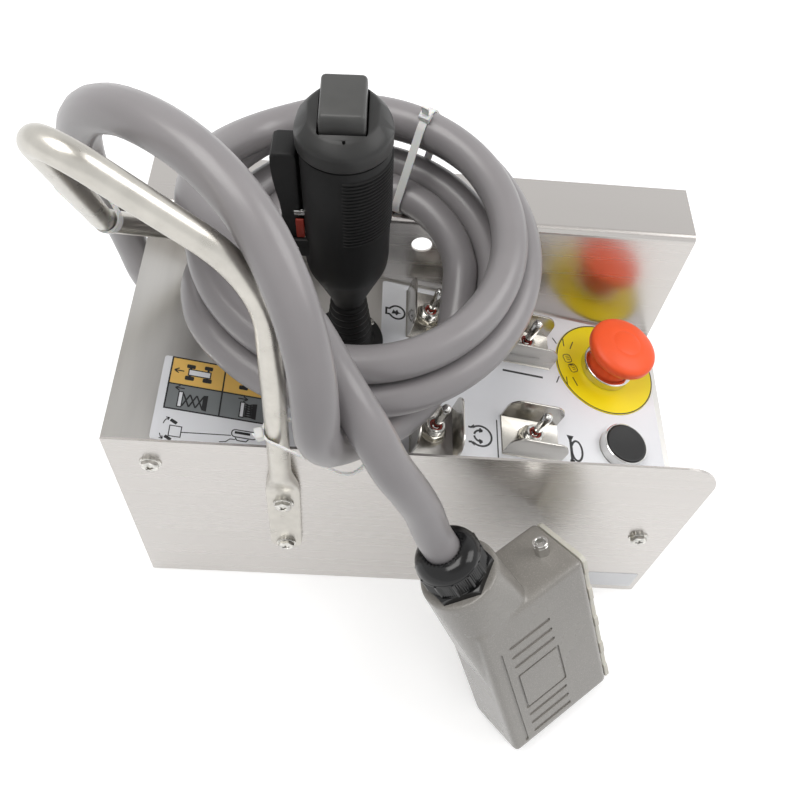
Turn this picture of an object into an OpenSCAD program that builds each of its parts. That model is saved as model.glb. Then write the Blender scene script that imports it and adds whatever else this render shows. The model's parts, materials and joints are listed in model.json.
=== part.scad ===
// Control box of a scissor lift: a stainless steel housing with a sloping panel, a joystick, four guarded
// toggle switches, a horn button, an emergency stop, a bent carrying handle and a coiled cable with a plug.
// X runs along the box, Y away from the operator and Z up. The origin is the middle of the box's underside.

/* [Housing] */
// Length of the box along X
box_length = 340; // [330:5:360]
// Distance between the outer faces of the two side plates
box_depth = 153; // [151:1:157]
// Height of the near side plate
near_height = 178; // [174:1:180]
// Height of the far side plate, up to the top of its hook flange
far_height = 201; // [196:1:202]
// Height of the sloping panel at its high end
panel_high = 178; // [174:1:180]
// Height of the sloping panel at its low end
panel_low = 102; // [96:1:110]
// Thickness of the sheet steel
sheet = 1.5; // [1:0.1:2]
// Width of the hook flange on the far plate
flange_width = 42; // [30:1:50]
// Radius of the free upper corner of the near plate
corner_radius = 22; // [10:1:30]
// Diameter of the hanging hole in the far plate
hanging_hole = 13; // [8:0.5:16]

/* [Handle] */
// Diameter of the handle bar
bar_diameter = 12; // [10:0.5:13]
// Height of the vertex where the handle starts to lean out
handle_bend_height = 322; // [318:1:330]
// Thickness of the flattened bar ends
tab_thickness = 3.5; // [3:0.25:5]
// Width of the flattened bar ends
tab_width = 20.4; // [18:0.2:22]

/* [Controls] */
// Diameter of the emergency stop's mushroom head
stop_head_diameter = 42; // [38:1:46]
// Diameter of the yellow disc under the emergency stop
stop_disc_diameter = 72; // [66:1:74]
// Travel of the emergency stop when it is pushed in
stop_travel = 4; // [3:0.5:4]
// Diameter of the horn button's cap
horn_cap_diameter = 27; // [24:0.5:28]
// Length of a toggle guard along its flanges
guard_length = 38; // [34:1:40]
// Distance between the outer faces of a guard's flanges
guard_width = 28; // [24:1:30]
// Height of a guard's flanges
guard_height = 20; // [16:1:24]
// Diameter of a toggle switch's threaded bushing
bushing_diameter = 11.8; // [11:0.1:12]

/* [Joystick] */
// Diameter of the joystick grip
grip_diameter = 46; // [42:1:47]
// Height of the joystick head's crown above the panel
grip_height = 172; // [168:1:176]
// Side of the square thumb rocker
rocker_side = 22; // [19:0.5:23]

/* [Cable and plug] */
// Diameter of the cable
cable_diameter = 20; // [18:0.5:20]
// Length of the plug's hood
hood_length = 120; // [112:1:124]
// Height of the plug's hood from its back to its open face
hood_height = 76; // [72:1:78]
// Thickness of the plug's hood
hood_thickness = 43; // [40:0.5:44]

/* [Hidden] */
$fn = 64;

// Reach past a face in a cut, so that the cut goes right through
over = 1;
// Running clearance between two pieces of one mechanism
play = 0.3;

// The housing
half_length = box_length / 2;
near_face = -box_depth / 2;
far_face = box_depth / 2;
inner_depth = box_depth - 2 * sheet;
panel_slope = (panel_high - panel_low) / box_length;
panel_angle = atan(panel_slope);
panel_drop = sheet / cos(panel_angle);
fold_radius = 3;
panel_flange_depth = 30;
hanging_hole_height = far_height - 21;

// Printed films: the left one's ends, the right one's left end, and their widths across the panel
decal_film = 0.4;
decal_left_from = 24 - half_length;
decal_left_to = -27;
decal_left_width = 55;
decal_right_from = -22.4;
decal_right_end = half_length - 4;
decal_right_width = box_depth - 7;
// Gap between the near face and each film's near edge
decal_left_margin = 5;
decal_right_margin = 4;
decal_corner = 2;
sticker_film = 0.3;
sticker_size = [46, 22];
sticker_corner = [half_length - 50, 7];

// Screws that hold the panel's flanges to the side plates
panel_screw_x = half_length - 23;
panel_screw_drop = 18;
screw_radius = 2.4;
screw_head_flats = 9;
screw_washer_radius = 6.2;
screw_washer_height = 1.2;
screw_head_height = 3.8;
screw_crown_radius = 11;
screw_recess = [5, 1.1, 4];
screw_nut_height = 4;
screw_end = 1.5;
// The handle's screws are thicker than the panel's, and its holes are wider still
handle_screw_radius = screw_radius + 0.5;
handle_hole_radius = screw_radius + 0.7;

// The handle: vertices of its centreline, from the near leg over the crossbar to the far foot
bar_radius = bar_diameter / 2;
bar_offset = bar_radius + play;
tab_taper = 10;
near_tab_top = 133;
near_tab_length = 79;
near_tab_screws = [13.5, 69];
far_tab_length = 40;
far_tab_screws = [10, 30];
near_leg_x = 95 - half_length;
near_leg_y = near_face - bar_offset;
far_foot_y = far_face - sheet - bar_offset;
far_foot_z = 184;
far_tab_x = 68 - half_length;
near_leg_foot = [near_leg_x, near_leg_y, near_tab_top + tab_taper];
leaning_vertex = [near_leg_x, near_leg_y, handle_bend_height];
near_corner = [near_leg_x - 75, near_leg_y, handle_bend_height + 69];
far_corner = [-half_length - 1, 12, 249];
foot_vertex = [far_tab_x - 26, far_foot_y, far_foot_z];
foot_end = [far_tab_x - tab_taper, far_foot_y, far_foot_z];
handle_points = [near_leg_foot, leaning_vertex, near_corner, far_corner, foot_vertex, foot_end];
handle_bends = [0, 75, 16, 40, 12, 0];
// Each straight laps a little over the ends of its bends, which are thinner by less than can be felt
bend_lap = 0.3;
bend_step = 0.02;

// Places of the controls on the panel
left_near_place = [10.6, -36.5];
left_far_place = [7.5, 50];
right_near_place = [half_length - 96.4, -29.5];
right_far_place = [half_length - 97.3, 41];
stop_place = [half_length - 38.2, 36.7];
horn_place = [half_length - 34, -25];
joystick_place = [-42, 22];

// Toggle switches
guard_sheet = 1.2;
guard_corner = 9;
bushing_radius = bushing_diameter / 2;
bushing_height = 9;
lever_pivot = 5.5;
lever_length = 21;
lever_ball = 3.2;
lever_bore = 3.9;
switch_case = [20, 14, 19];
nut_flats = 14;
nut_height = 2.6;
thread_fit = 0.05;
// Radius and thickness of the washer under a toggle switch's nut
toggle_washer = [8.6, 0.8];
lever_root = 1.6;
lever_tip = 2.9;
switch_lug = [0.8, 3.6, 7.5];
switch_lug_pitch = 6;

// Emergency stop
stop_disc_sheet = 1;
stop_collar_radius = 17.8;
stop_neck_radius = 12.7;
stop_collar_top = 9;
stop_neck_bottom = stop_disc_sheet + stop_travel + play;
stop_neck_top = 20;
stop_head_height = 13;
stop_barrel_radius = 11;
stop_barrel_depth = 20;
stop_stem_radius = 8;
// Radius and height of the spigot that carries the head
stop_spigot = [6, 6];
stop_crown_radius = 60;
// Flats and height of the lock ring, and the contact block's size
stop_nut = [28, 5];
stop_case = [30, 40, 30];

// Horn button
horn_bezel_radius = horn_cap_diameter / 2 + 1.4;
horn_bezel_height = 6;
horn_barrel_radius = 11;
horn_barrel_depth = 16;
horn_stem_radius = 5;
horn_stem_depth = 12;
horn_cap_bottom = 4;
horn_cap_thickness = 4.5;
horn_dish_radius = 99.6;
horn_dish_depth = 0.6;
// Flats and height of the lock ring, and the contact block's size
horn_nut = [26, 4];
horn_case = [24, 30, 24];

// Joystick, measured along its own axis from the panel
joystick_lean = -2.6;
joystick_pivot = 3;
grip_radius = grip_diameter / 2;
neck_radius = 9.5;
grip_bottom = 38;
grip_shoulder = 72;
head_height = 26;
grip_top = grip_height - head_height;
head_radius = grip_radius + 0.75;
head_bottom = grip_top + play;
// Height of the head's crown over its own edge, and the sphere that it is part of
crown_rise = 10;
crown_radius = (head_radius * head_radius + crown_rise * crown_rise) / 2 / crown_rise;
shaft_radius = 5;
shaft_ball = 7;
// Depth of the shaft in the grip
shaft_depth = 22;
grip_rib_bottom = 102;
grip_rib_pitch = 3;
grip_rib = [1.6, 1.4];
grip_ribs = floor((grip_top - 2 - grip_rib_bottom) / grip_rib_pitch) + 1;
grip_rib_angle = 160;
// Trigger: its ends, its pin through the two ears on the grip, and the recess behind it
trigger_foot = grip_shoulder + 16;
trigger_top = grip_height - 9;
trigger_width = 18;
trigger_side_gap = 0.4;
trigger_ear = [14, 3, 12];
trigger_ear_reach = 8;
trigger_ear_centre = trigger_width / 2 + trigger_side_gap + trigger_ear.y / 2;
trigger_pin_radius = 1.6;
trigger_pin_end = 0.4;
trigger_pin_length = trigger_width + 2 * (trigger_side_gap + trigger_ear.y + trigger_pin_end);
trigger_pivot = [-grip_radius - 3, trigger_foot + 4];
trigger_recess = grip_radius - 7;
trigger_space_bottom = trigger_foot - 4;
trigger_space_top = trigger_top + 2;
// Thumb rocker: its pivot, its height above and below that, and the room round it in its well
rocker_pivot = grip_height - 4;
rocker_top = 8;
rocker_bottom = 6;
rocker_room = [1.4, 0.4, 2.5];

// Joystick flange with its screws, the housing under the panel, and the rubber bellows
joystick_flange_radius = 21;
joystick_flange_height = 3;
joystick_flange_bore = 11.6;
joystick_spigot_radius = 16.8;
joystick_case = [52, 52, 46];
joystick_screw_circle = 17.2;
screw_button_radius = 2.4;
screw_button_height = 1.6;
boot_foot_radius = 14.4;
boot_foot_height = 1.2;
boot_bottom_radius = 12.6;
boot_taper = 3.6;
boot_fold = 1.6;
boot_wall = 1.6;
boot_pleats = 12;
boot_bottom = 7;
boot_pitch = (grip_bottom - boot_bottom) / boot_pleats;

// Circuit board on the floor of the housing
board_size = [110, 90, 1.6];
board_place = [-20, -10];
standoff_height = 10;
standoff_flats = 6;
standoff_inset = [6, 20];
terminal_row = [86, 10, 12];
chip_size = [16, 16, 3];
chip_pitch = 30;

// Cable glands
gland_hex_flats = 36;
gland_hex_height = 9;
gland_dome_height = 20;
gland_dome_radius = 19;
gland_mouth_radius = 13.5;
gland_thread_radius = 15.5;
gland_thread_end = 8;
gland_lock_nut = 5;
gland_mouth_depth = 3;
gland_crown = 9;
gland_seat = gland_hex_height + gland_dome_height - gland_mouth_depth;
gland_place = [-100, 42];

// Turns of the coil: radius of each turn and its height in the coil's own tilted frame
cable_radius = cable_diameter / 2;
coil_place = [-40, 28, 221];
coil_tilt = 8;
coil_turns = [[82, 21], [93.5, 4], [80, -16]];
// The strand inside the lowest turn, from the angle at which the lead comes in, and the web between the two
inner_turn = [60, -16.2];
inner_turn_from = -6;
inner_turn_angle = 220;
inner_web = 14;

// Plug: its lowest corner, its turn and the neck that carries its gland
plug_place = [76.4, -194.9, 19.3];
plug_turn = [168, -63.5, 138];
hood_wall = 3;
hood_corner = 4;
neck_end = [hood_length + 25, 11, hood_thickness / 2];
neck_angle = 10;
hood_neck_radius = 20;
insert_size = [104, 34];
peg_radius = 4.5;
peg_length = 9;
peg_wall = 1.6;
peg_hole_depth = 4;
peg_height = hood_height - 12;
hood_cavity_bottom = 24;
// Cone of the neck: where it leaves the hood, in parts of the hood's length and height
neck_root = [0.45, 0.53, 0.52];
groove = 1.2;
groove_places = [8, 17, 26, 76, 85, 94];
groove_length = 30;
groove_bottom = 16;
long_groove = [5, 9, 90];
framed_field = [34, 31];
insert_bottom = 50;
insert_reach = 5;
insert_rim = 3;
chambers = 12;
chamber_first = 14;
chamber_pitch = 8.36;
chamber_row = 8;
chamber_radius = 2;
chamber_depth = 8;

// Cable routes, as points on the centreline
lead_route = [
    [-100, 118, 42], [-107, 134, 43], [-123, 145, 45], [-142, 147, 50], [-160, 139, 58], [-173, 124, 70],
    [-180, 106, 88], [-182, 90, 110], [-182, 79, 136], [-182, 72, 165], [-183, 66, 192], [-184, 56, 218],
    [-182, 42, 249], [-176, 24, 284], [-166, 4, 316], [-150, -14, 341], [-128, -32, 354], [-103, -51, 355],
    [-81, -71, 346], [-65, -92, 328], [-56, -109, 306], [-53, -118, 284], [-52, -119, 265],
    [-48, -112, 246], [-42, -100, 227], [-35, -86, 208], [-25, -71, 190], [-13, -56, 178], [0, -40, 174],
    [11, -23, 180], [17, -5, 190]
];
tail_route = [
    [-70, 103, 250], [-97, 86, 252], [-116, 58, 260], [-122, 28, 269], [-119, 0, 276], [-107, -22, 281],
    [-90, -37, 282], [-73, -54, 281], [-58, -75, 280], [-43, -98, 273], [-29, -112, 258], [-19, -118, 239],
    [-9, -119, 219], [-1, -119, 200]
];

function unit(v) = v / norm(v);
function panel_z(x) = panel_low + panel_slope * (half_length - x);
function along_panel(x) = x / cos(panel_angle);

// Turns of a vector about each axis, and all three in the order that rotate() uses
function turn_x(v, a) = [v.x, v.y * cos(a) - v.z * sin(a), v.y * sin(a) + v.z * cos(a)];
function turn_y(v, a) = [v.x * cos(a) + v.z * sin(a), v.y, v.z * cos(a) - v.x * sin(a)];
function turn_z(v, a) = [v.x * cos(a) - v.y * sin(a), v.x * sin(a) + v.y * cos(a), v.z];
function turned(v, t) = turn_z(turn_y(turn_x(v, t.x), t.y), t.z);
function plug_point(v) = plug_place + turned(v, plug_turn);
// Point of a turn of the coil at an angle round the coil
function coil_point(turn, a) = coil_place + turn_x([turn.x * cos(a), turn.x * sin(a), turn.y], coil_tilt);

gland_axis = [cos(neck_angle), -sin(neck_angle), 0];
lead_start = [gland_place.x, far_face + gland_seat, gland_place.y];
lead_end = coil_point(inner_turn, inner_turn_from);
tail_end = plug_point(neck_end + gland_seat * gland_axis);
tail_turn_in = plug_point(neck_end + (gland_seat + 16) * gland_axis);

// Direction of a route at each of its points
function route_directions(p) = [
    for (i = [0:len(p) - 1])
        unit(p[min(i + 1, len(p) - 1)] - p[max(i - 1, 0)])
];
// Part of a vector that is square to a direction
function square_to(v, d) = unit(v - (v * d) * d);
// One side vector per point, carried along the route without twist
function route_sides(d, start) = [
    for (i = 0, s = square_to(start, d[0]); i < len(d); i = i + 1, s = square_to(s, d[min(i, len(d) - 1)]))
        s
];

// Tube of one radius along a route, as one closed skin with flat ends
module swept_tube(route, radius, start_side, sides = 10) {
    directions = route_directions(route);
    side_vectors = route_sides(directions, start_side);
    rings = len(route);
    skin = [
        for (i = [0:rings - 1], k = [0:sides - 1])
            route[i] + radius * (cos(360 * k / sides) * side_vectors[i]
                + sin(360 * k / sides) * cross(directions[i], side_vectors[i]))
    ];
    first_cap = [[for (k = [0:sides - 1]) k]];
    last_cap = [[for (k = [0:sides - 1]) rings * sides - 1 - k]];
    walls = [
        for (i = [0:rings - 2], k = [0:sides - 1])
            let (here = i * sides, next = here + sides, turn = (k + 1) % sides)
                [here + k, next + k, next + turn, here + turn]
    ];
    polyhedron(points = skin, faces = concat(first_cap, walls, last_cap));
}

// Children in a frame with the given origin and axes
module in_frame(origin, x_axis, y_axis, z_axis)
    multmatrix([
        [x_axis.x, y_axis.x, z_axis.x, origin.x],
        [x_axis.y, y_axis.y, z_axis.y, origin.y],
        [x_axis.z, y_axis.z, z_axis.z, origin.z]
    ])
        children();

// Straight bar between two points
module straight_bar(from, to, radius) {
    along = unit(to - from);
    across = square_to(abs(along.z) < 0.9 ? [0, 0, 1] : [1, 0, 0], along);
    in_frame(from, across, cross(along, across), along)
        cylinder(h = norm(to - from), r = radius);
}

// Half of the turn at vertex i of a path, and the length that its bend takes from each leg
function half_turn(p, i) = acos(unit(p[i] - p[i - 1]) * unit(p[i + 1] - p[i])) / 2;
function bend_reach(p, bends, i) =
    i == 0 || i == len(p) - 1 ? 0 : bends[i] * tan(half_turn(p, i));

// Round bar bent at the vertices of a path, each with its own bend radius
module bent_bar(points, bends, radius) {
    for (i = [0:len(points) - 2]) {
        along = unit(points[i + 1] - points[i]);
        straight_bar(
            points[i] + (bend_reach(points, bends, i) - bend_lap) * along,
            points[i + 1] - (bend_reach(points, bends, i + 1) - bend_lap) * along,
            radius
        );
    }
    for (i = [1:len(points) - 2]) {
        along = unit(points[i] - points[i - 1]);
        inward = square_to(points[i + 1] - points[i], along);
        centre = points[i] - bend_reach(points, bends, i) * along + bends[i] * inward;
        in_frame(centre, -inward, along, cross(-inward, along))
            rotate_extrude(angle = 2 * half_turn(points, i))
                translate([bends[i], 0])
                    circle(r = radius - bend_step);
    }
}

// Rectangle with round corners, with its lower left corner at the origin
module rounded_rectangle(size, radius) {
    translate([radius, 0])
        square([size.x - 2 * radius, size.y]);
    translate([0, radius])
        square([size.x, size.y - 2 * radius]);
    for (x = [radius, size.x - radius], y = [radius, size.y - radius])
        translate([x, y])
            circle(r = radius);
}

// Disc with rounded edges, standing on the XY plane
module rounded_disc(radius, height, edge)
    rotate_extrude() {
        square([radius - edge, height]);
        translate([0, edge])
            square([radius, height - 2 * edge]);
        for (z = [edge, height - edge])
            translate([radius - edge, z])
                circle(r = edge);
    }

// Hexagon given by the distance between its flats
module hexagon(flats)
    circle(r = flats / 2 / cos(30), $fn = 6);

// Children standing on the panel at a place given by its X and Y
module on_panel(place)
    translate([place.x, place.y, panel_z(place.x)])
        rotate([0, panel_angle, 0])
            children();

// Flat shape drawn on the panel, with X counted along the slope from the middle of the box
module panel_layer(thickness)
    on_panel([0, 0])
        linear_extrude(height = thickness)
            children();

// Strip that follows the panel's slope between two values of X, seen from the near side
module slope_strip(from_x, to_x, depth)
    polygon([
        [from_x, panel_z(from_x)], [to_x, panel_z(to_x)],
        [to_x, panel_z(to_x) - depth], [from_x, panel_z(from_x) - depth]
    ]);

// Outline seen from the near side, made solid from near_y over a thickness towards the far side
module upright_sheet(near_y, thickness)
    translate([0, near_y + thickness, 0])
        rotate([90, 0, 0])
            linear_extrude(height = thickness)
                children();

// Floor and both end walls, folded from one sheet and cut off under the panel
module enclosure_tub()
    color("silver")
        upright_sheet(near_face + sheet, inner_depth)
            difference() {
                translate([-half_length, 0])
                    rounded_rectangle([box_length, 2 * near_height], fold_radius);
                translate([sheet - half_length, sheet])
                    rounded_rectangle([box_length - 2 * sheet, 2 * near_height], fold_radius - sheet);
                polygon([
                    [-half_length - over, panel_z(-half_length - over) - panel_drop],
                    [half_length + over, panel_z(half_length + over) - panel_drop],
                    [half_length + over, 3 * near_height],
                    [-half_length - over, 3 * near_height]
                ]);
            }

// Sloping panel with its down-turned flanges and the openings for the controls
module control_panel()
    color("lightgray")
        difference() {
            union() {
                upright_sheet(near_face + sheet, inner_depth)
                    slope_strip(-half_length, half_length, panel_drop);
                for (y = [near_face + sheet, far_face - 2 * sheet])
                    upright_sheet(y, sheet)
                        slope_strip(-half_length + 2 * sheet, half_length - 2 * sheet, panel_flange_depth);
            }
            for (place = [left_near_place, left_far_place, right_near_place, right_far_place])
                panel_opening(place, bushing_radius + 0.2);
            panel_opening(stop_place, stop_barrel_radius + 0.2);
            panel_opening(horn_place, horn_barrel_radius + 0.2);
            panel_opening(joystick_place, joystick_spigot_radius + 0.2);
            for (x = [-panel_screw_x, panel_screw_x])
                panel_screw_hole(x);
        }

module panel_opening(place, radius)
    on_panel(place)
        translate([0, 0, -sheet - over])
            cylinder(h = sheet + 2 * over, r = radius);

// Hole from plate to plate for the pair of screws at one end
module panel_screw_hole(x)
    translate([x, 0, panel_z(x) - panel_screw_drop])
        rotate([90, 0, 0])
            cylinder(h = box_depth + 2 * over, r = screw_radius + 0.2, center = true);

module near_side_plate()
    color("silver")
        difference() {
            upright_sheet(near_face, sheet)
                near_plate_outline();
            for (x = [-panel_screw_x, panel_screw_x])
                panel_screw_hole(x);
            for (drop = near_tab_screws)
                translate([near_leg_x, near_face, near_tab_top - drop])
                    rotate([90, 0, 0])
                        cylinder(h = 4 * sheet, r = handle_hole_radius, center = true);
        }

module near_plate_outline() {
    translate([-half_length, 0])
        square([box_length - corner_radius, near_height]);
    translate([-half_length, 0])
        square([box_length, near_height - corner_radius]);
    translate([half_length - corner_radius, near_height - corner_radius])
        circle(r = corner_radius);
}

// Far plate, folded outwards at the top into the flange that hooks over the platform's rail
module far_side_plate()
    color("silver")
        difference() {
            translate([-half_length, 0, 0])
                rotate([90, 0, 90])
                    linear_extrude(height = box_length)
                        hook_section();
            translate([0, far_face, hanging_hole_height])
                rotate([90, 0, 0])
                    cylinder(h = 4 * sheet, d = hanging_hole, center = true);
            for (x = [-panel_screw_x, panel_screw_x])
                panel_screw_hole(x);
            for (drop = far_tab_screws)
                translate([far_tab_x + drop, far_face, far_foot_z])
                    rotate([90, 0, 0])
                        cylinder(h = 4 * sheet, r = handle_hole_radius, center = true);
            translate([gland_place.x, far_face, gland_place.y])
                rotate([90, 0, 0])
                    cylinder(h = 4 * sheet, r = gland_thread_radius + 0.2, center = true);
        }

// Section of the far plate in the YZ plane, with a round fold
module hook_section() {
    inner_face = far_face - sheet;
    fold_outside = fold_radius + sheet;
    translate([inner_face, 0])
        square([sheet, far_height - fold_outside]);
    translate([inner_face + fold_outside, far_height - sheet])
        square([flange_width - fold_radius, sheet]);
    translate([inner_face + fold_outside, far_height - fold_outside])
        intersection() {
            difference() {
                circle(r = fold_outside);
                circle(r = fold_radius);
            }
            translate([-fold_outside, 0])
                square(fold_outside);
        }
}

module handle_bar()
    color("gainsboro") {
        bent_bar(handle_points, handle_bends, bar_radius);
        translate([near_leg_x, near_leg_y, near_tab_top])
            flattened_end(near_tab_length, near_tab_screws);
        translate([far_tab_x, far_foot_y, far_foot_z])
            rotate([0, -90, 0])
                flattened_end(far_tab_length, far_tab_screws);
    }

// Bar end pressed flat: the bar comes from +Z, and the flat lies against a plate on its +Y side
module flattened_end(length, screw_drops) {
    flat_front = bar_offset - tab_thickness;
    half_width = tab_width / 2;
    // The step from round to flat
    hull() {
        translate([0, 0, tab_taper])
            cylinder(h = 0.5, r = bar_radius, $fn = 32);
        translate([-half_width, flat_front, -0.5])
            cube([tab_width, tab_thickness, 0.5]);
    }
    difference() {
        translate([0, bar_offset, 0])
            rotate([90, 0, 0])
                linear_extrude(height = tab_thickness) {
                    translate([-half_width, half_width - length])
                        square([tab_width, length - half_width]);
                    translate([0, half_width - length])
                        circle(r = half_width);
                }
        for (drop = screw_drops)
            translate([0, bar_offset, -drop])
                rotate([90, 0, 0])
                    cylinder(h = 4 * tab_thickness, r = handle_hole_radius, center = true);
    }
}

// Screw along +Z with its head at the top: a washer, a domed hexagon with a cross recess, and a shank
module cross_screw(shank, thread) {
    top = screw_washer_height + screw_head_height;
    difference() {
        union() {
            cylinder(h = screw_washer_height, r = screw_washer_radius);
            translate([0, 0, screw_washer_height])
                intersection() {
                    linear_extrude(height = screw_head_height)
                        hexagon(screw_head_flats);
                    translate([0, 0, screw_head_height - screw_crown_radius])
                        sphere(r = screw_crown_radius);
                }
        }
        for (turn = [0, 90])
            rotate([0, 0, turn])
                translate([0, 0, top])
                    cube(screw_recess, center = true);
    }
    translate([0, 0, -shank])
        cylinder(h = shank, r = thread);
}

// Hexagon nut lying under the XY plane
module hexagon_nut(flats, height, bore)
    translate([0, 0, -height])
        linear_extrude(height = height)
            difference() {
                hexagon(flats);
                circle(r = bore);
            }

// Two screws in each flattened end of the handle, with their nuts behind the plates
module handle_screws()
    color("lightsteelblue") {
        for (drop = near_tab_screws)
            translate([near_leg_x, near_face - tab_thickness, near_tab_top - drop])
                rotate([90, 0, 0])
                    bolted_screw(tab_thickness + sheet, handle_screw_radius);
        for (drop = far_tab_screws)
            translate([far_tab_x + drop, far_face - sheet - tab_thickness, far_foot_z])
                rotate([90, 0, 0])
                    bolted_screw(tab_thickness + sheet, handle_screw_radius);
    }

// Screw through a stack of the given thickness, with a nut on the other side
module bolted_screw(stack, thread) {
    cross_screw(stack + screw_nut_height + screw_end, thread);
    translate([0, 0, -stack])
        hexagon_nut(screw_head_flats, screw_nut_height, thread);
}

// One screw through each side plate into the panel's flange at both ends
module panel_screws()
    color("lightsteelblue")
        for (x = [-panel_screw_x, panel_screw_x], side = [-1, 1])
            translate([x, side * far_face, panel_z(x) - panel_screw_drop])
                rotate([-90 * side, 0, 0])
                    bolted_screw(2 * sheet, screw_radius);

// Printed film beside the joystick
module left_decal()
    color("white")
        panel_layer(decal_film)
            translate([along_panel(decal_left_from), near_face + decal_left_margin])
                rounded_rectangle(
                    [along_panel(decal_left_to - decal_left_from), decal_left_width],
                    decal_corner
                );

// Printed film under the switches, cut out round the guards, the stop disc, the horn and the joystick
module right_decal()
    color("white")
        panel_layer(decal_film)
            difference() {
                translate([along_panel(decal_right_from), near_face + decal_right_margin])
                    rounded_rectangle(
                        [along_panel(decal_right_end - decal_right_from), decal_right_width],
                        decal_corner
                    );
                for (place = [left_near_place, left_far_place])
                    decal_cut(place)
                        square([guard_width + 1, guard_length + 1], center = true);
                for (place = [right_near_place, right_far_place])
                    decal_cut(place)
                        square([guard_length + 1, guard_width + 1], center = true);
                decal_cut(stop_place)
                    circle(d = stop_disc_diameter + 0.6);
                decal_cut(horn_place)
                    circle(r = horn_bezel_radius + 0.4);
                decal_cut(joystick_place)
                    circle(r = joystick_flange_radius + 0.4);
            }

module decal_cut(place)
    translate([along_panel(place.x), place.y])
        children();

// Bare sticker near the low corner of the near plate
module near_plate_sticker()
    color("white")
        upright_sheet(near_face - sticker_film, sticker_film)
            translate(sticker_corner)
                rounded_rectangle(sticker_size, 1.5);

// Folded guard with a flange on each side of a switch, its flanges along X
module toggle_guard()
    color("gainsboro") {
        difference() {
            translate([-guard_length / 2, -guard_width / 2, 0])
                cube([guard_length, guard_width, guard_sheet]);
            translate([0, 0, -over])
                cylinder(h = guard_sheet + 2 * over, r = bushing_radius + 0.2);
        }
        for (y = [-guard_width / 2, guard_width / 2 - guard_sheet])
            upright_sheet(y, guard_sheet)
                guard_flange_outline();
    }

// Flange with a straight foot and two round upper corners
module guard_flange_outline() {
    translate([-guard_length / 2, 0])
        square([guard_length, guard_height - guard_corner]);
    translate([guard_corner - guard_length / 2, 0])
        square([guard_length - 2 * guard_corner, guard_height]);
    for (x = [guard_corner - guard_length / 2, guard_length / 2 - guard_corner])
        translate([x, guard_height - guard_corner])
            circle(r = guard_corner);
}

module guard_left_near() on_panel(left_near_place) rotate([0, 0, 90]) toggle_guard();
module guard_left_far() on_panel(left_far_place) rotate([0, 0, 90]) toggle_guard();
module guard_right_near() on_panel(right_near_place) toggle_guard();
module guard_right_far() on_panel(right_far_place) toggle_guard();

// Case under the panel with its solder lugs, and the threaded bushing through the panel
module toggle_switch()
    color("dimgray") {
        translate([-switch_case.x / 2, -switch_case.y / 2, -sheet - switch_case.z])
            cube(switch_case);
        for (i = [-1, 0, 1])
            translate([
                i * switch_lug_pitch - switch_lug.x / 2,
                -switch_lug.y / 2,
                0.5 - sheet - switch_case.z - switch_lug.z
            ])
                cube(switch_lug);
        difference() {
            translate([0, 0, -sheet])
                cylinder(h = bushing_height + sheet, r = bushing_radius);
            translate([0, 0, lever_pivot - lever_ball - 1.5])
                cylinder(h = bushing_height, r = lever_bore);
        }
    }

module switch_left_near() on_panel(left_near_place) rotate([0, 0, 90]) toggle_switch();
module switch_left_far() on_panel(left_far_place) rotate([0, 0, 90]) toggle_switch();
module switch_right_near() on_panel(right_near_place) toggle_switch();
module switch_right_far() on_panel(right_far_place) toggle_switch();

// Washer and hexagon nut on each bushing
module toggle_nuts()
    color("silver")
        for (place = [left_near_place, left_far_place, right_near_place, right_far_place])
            on_panel(place)
                translate([0, 0, guard_sheet]) {
                    difference() {
                        cylinder(h = toggle_washer.y, r = toggle_washer.x);
                        translate([0, 0, -over])
                            cylinder(h = toggle_washer.y + 2 * over, r = bushing_radius + thread_fit);
                    }
                    translate([0, 0, toggle_washer.y + nut_height])
                        hexagon_nut(nut_flats, nut_height, bushing_radius + thread_fit);
                }

// Bat lever: a ball in the bushing and a stem that thickens to a round tip
module bat_lever()
    color("lightsteelblue")
        translate([0, 0, lever_pivot]) {
            sphere(r = lever_ball);
            cylinder(h = lever_length, r1 = lever_root, r2 = lever_tip);
            translate([0, 0, lever_length])
                sphere(r = lever_tip);
        }

module lever_left_near() on_panel(left_near_place) bat_lever();
module lever_left_far() on_panel(left_far_place) bat_lever();
module lever_right_near() on_panel(right_near_place) bat_lever();
module lever_right_far() on_panel(right_far_place) bat_lever();

module stop_disc()
    color("gold")
        on_panel(stop_place)
            difference() {
                cylinder(h = stop_disc_sheet, d = stop_disc_diameter);
                translate([0, 0, -over])
                    cylinder(h = stop_disc_sheet + 2 * over, r = stop_barrel_radius + 0.2);
            }

// Bright collar on the disc, with the threaded barrel that passes through the panel
module stop_collar()
    color("silver")
        on_panel(stop_place)
            difference() {
                union() {
                    translate([0, 0, stop_disc_sheet])
                        rounded_disc(stop_collar_radius, stop_collar_top - stop_disc_sheet, 2);
                    translate([0, 0, -stop_barrel_depth])
                        cylinder(h = stop_barrel_depth + 2 * stop_disc_sheet, r = stop_barrel_radius);
                }
                translate([0, 0, stop_neck_bottom - stop_travel])
                    cylinder(h = stop_collar_top, r = stop_neck_radius + play);
                translate([0, 0, -stop_barrel_depth - over])
                    cylinder(h = stop_barrel_depth + 4 * over, r = stop_stem_radius + play);
            }

// Contact block that hangs from the barrel, with its lock ring under the panel
module stop_block()
    color("dimgray")
        on_panel(stop_place) {
            translate([0, 0, -sheet])
                hexagon_nut(stop_nut.x, stop_nut.y, stop_barrel_radius);
            translate([-stop_case.x / 2, -stop_case.y / 2, -stop_barrel_depth - stop_case.z])
                cube(stop_case);
        }

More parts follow.
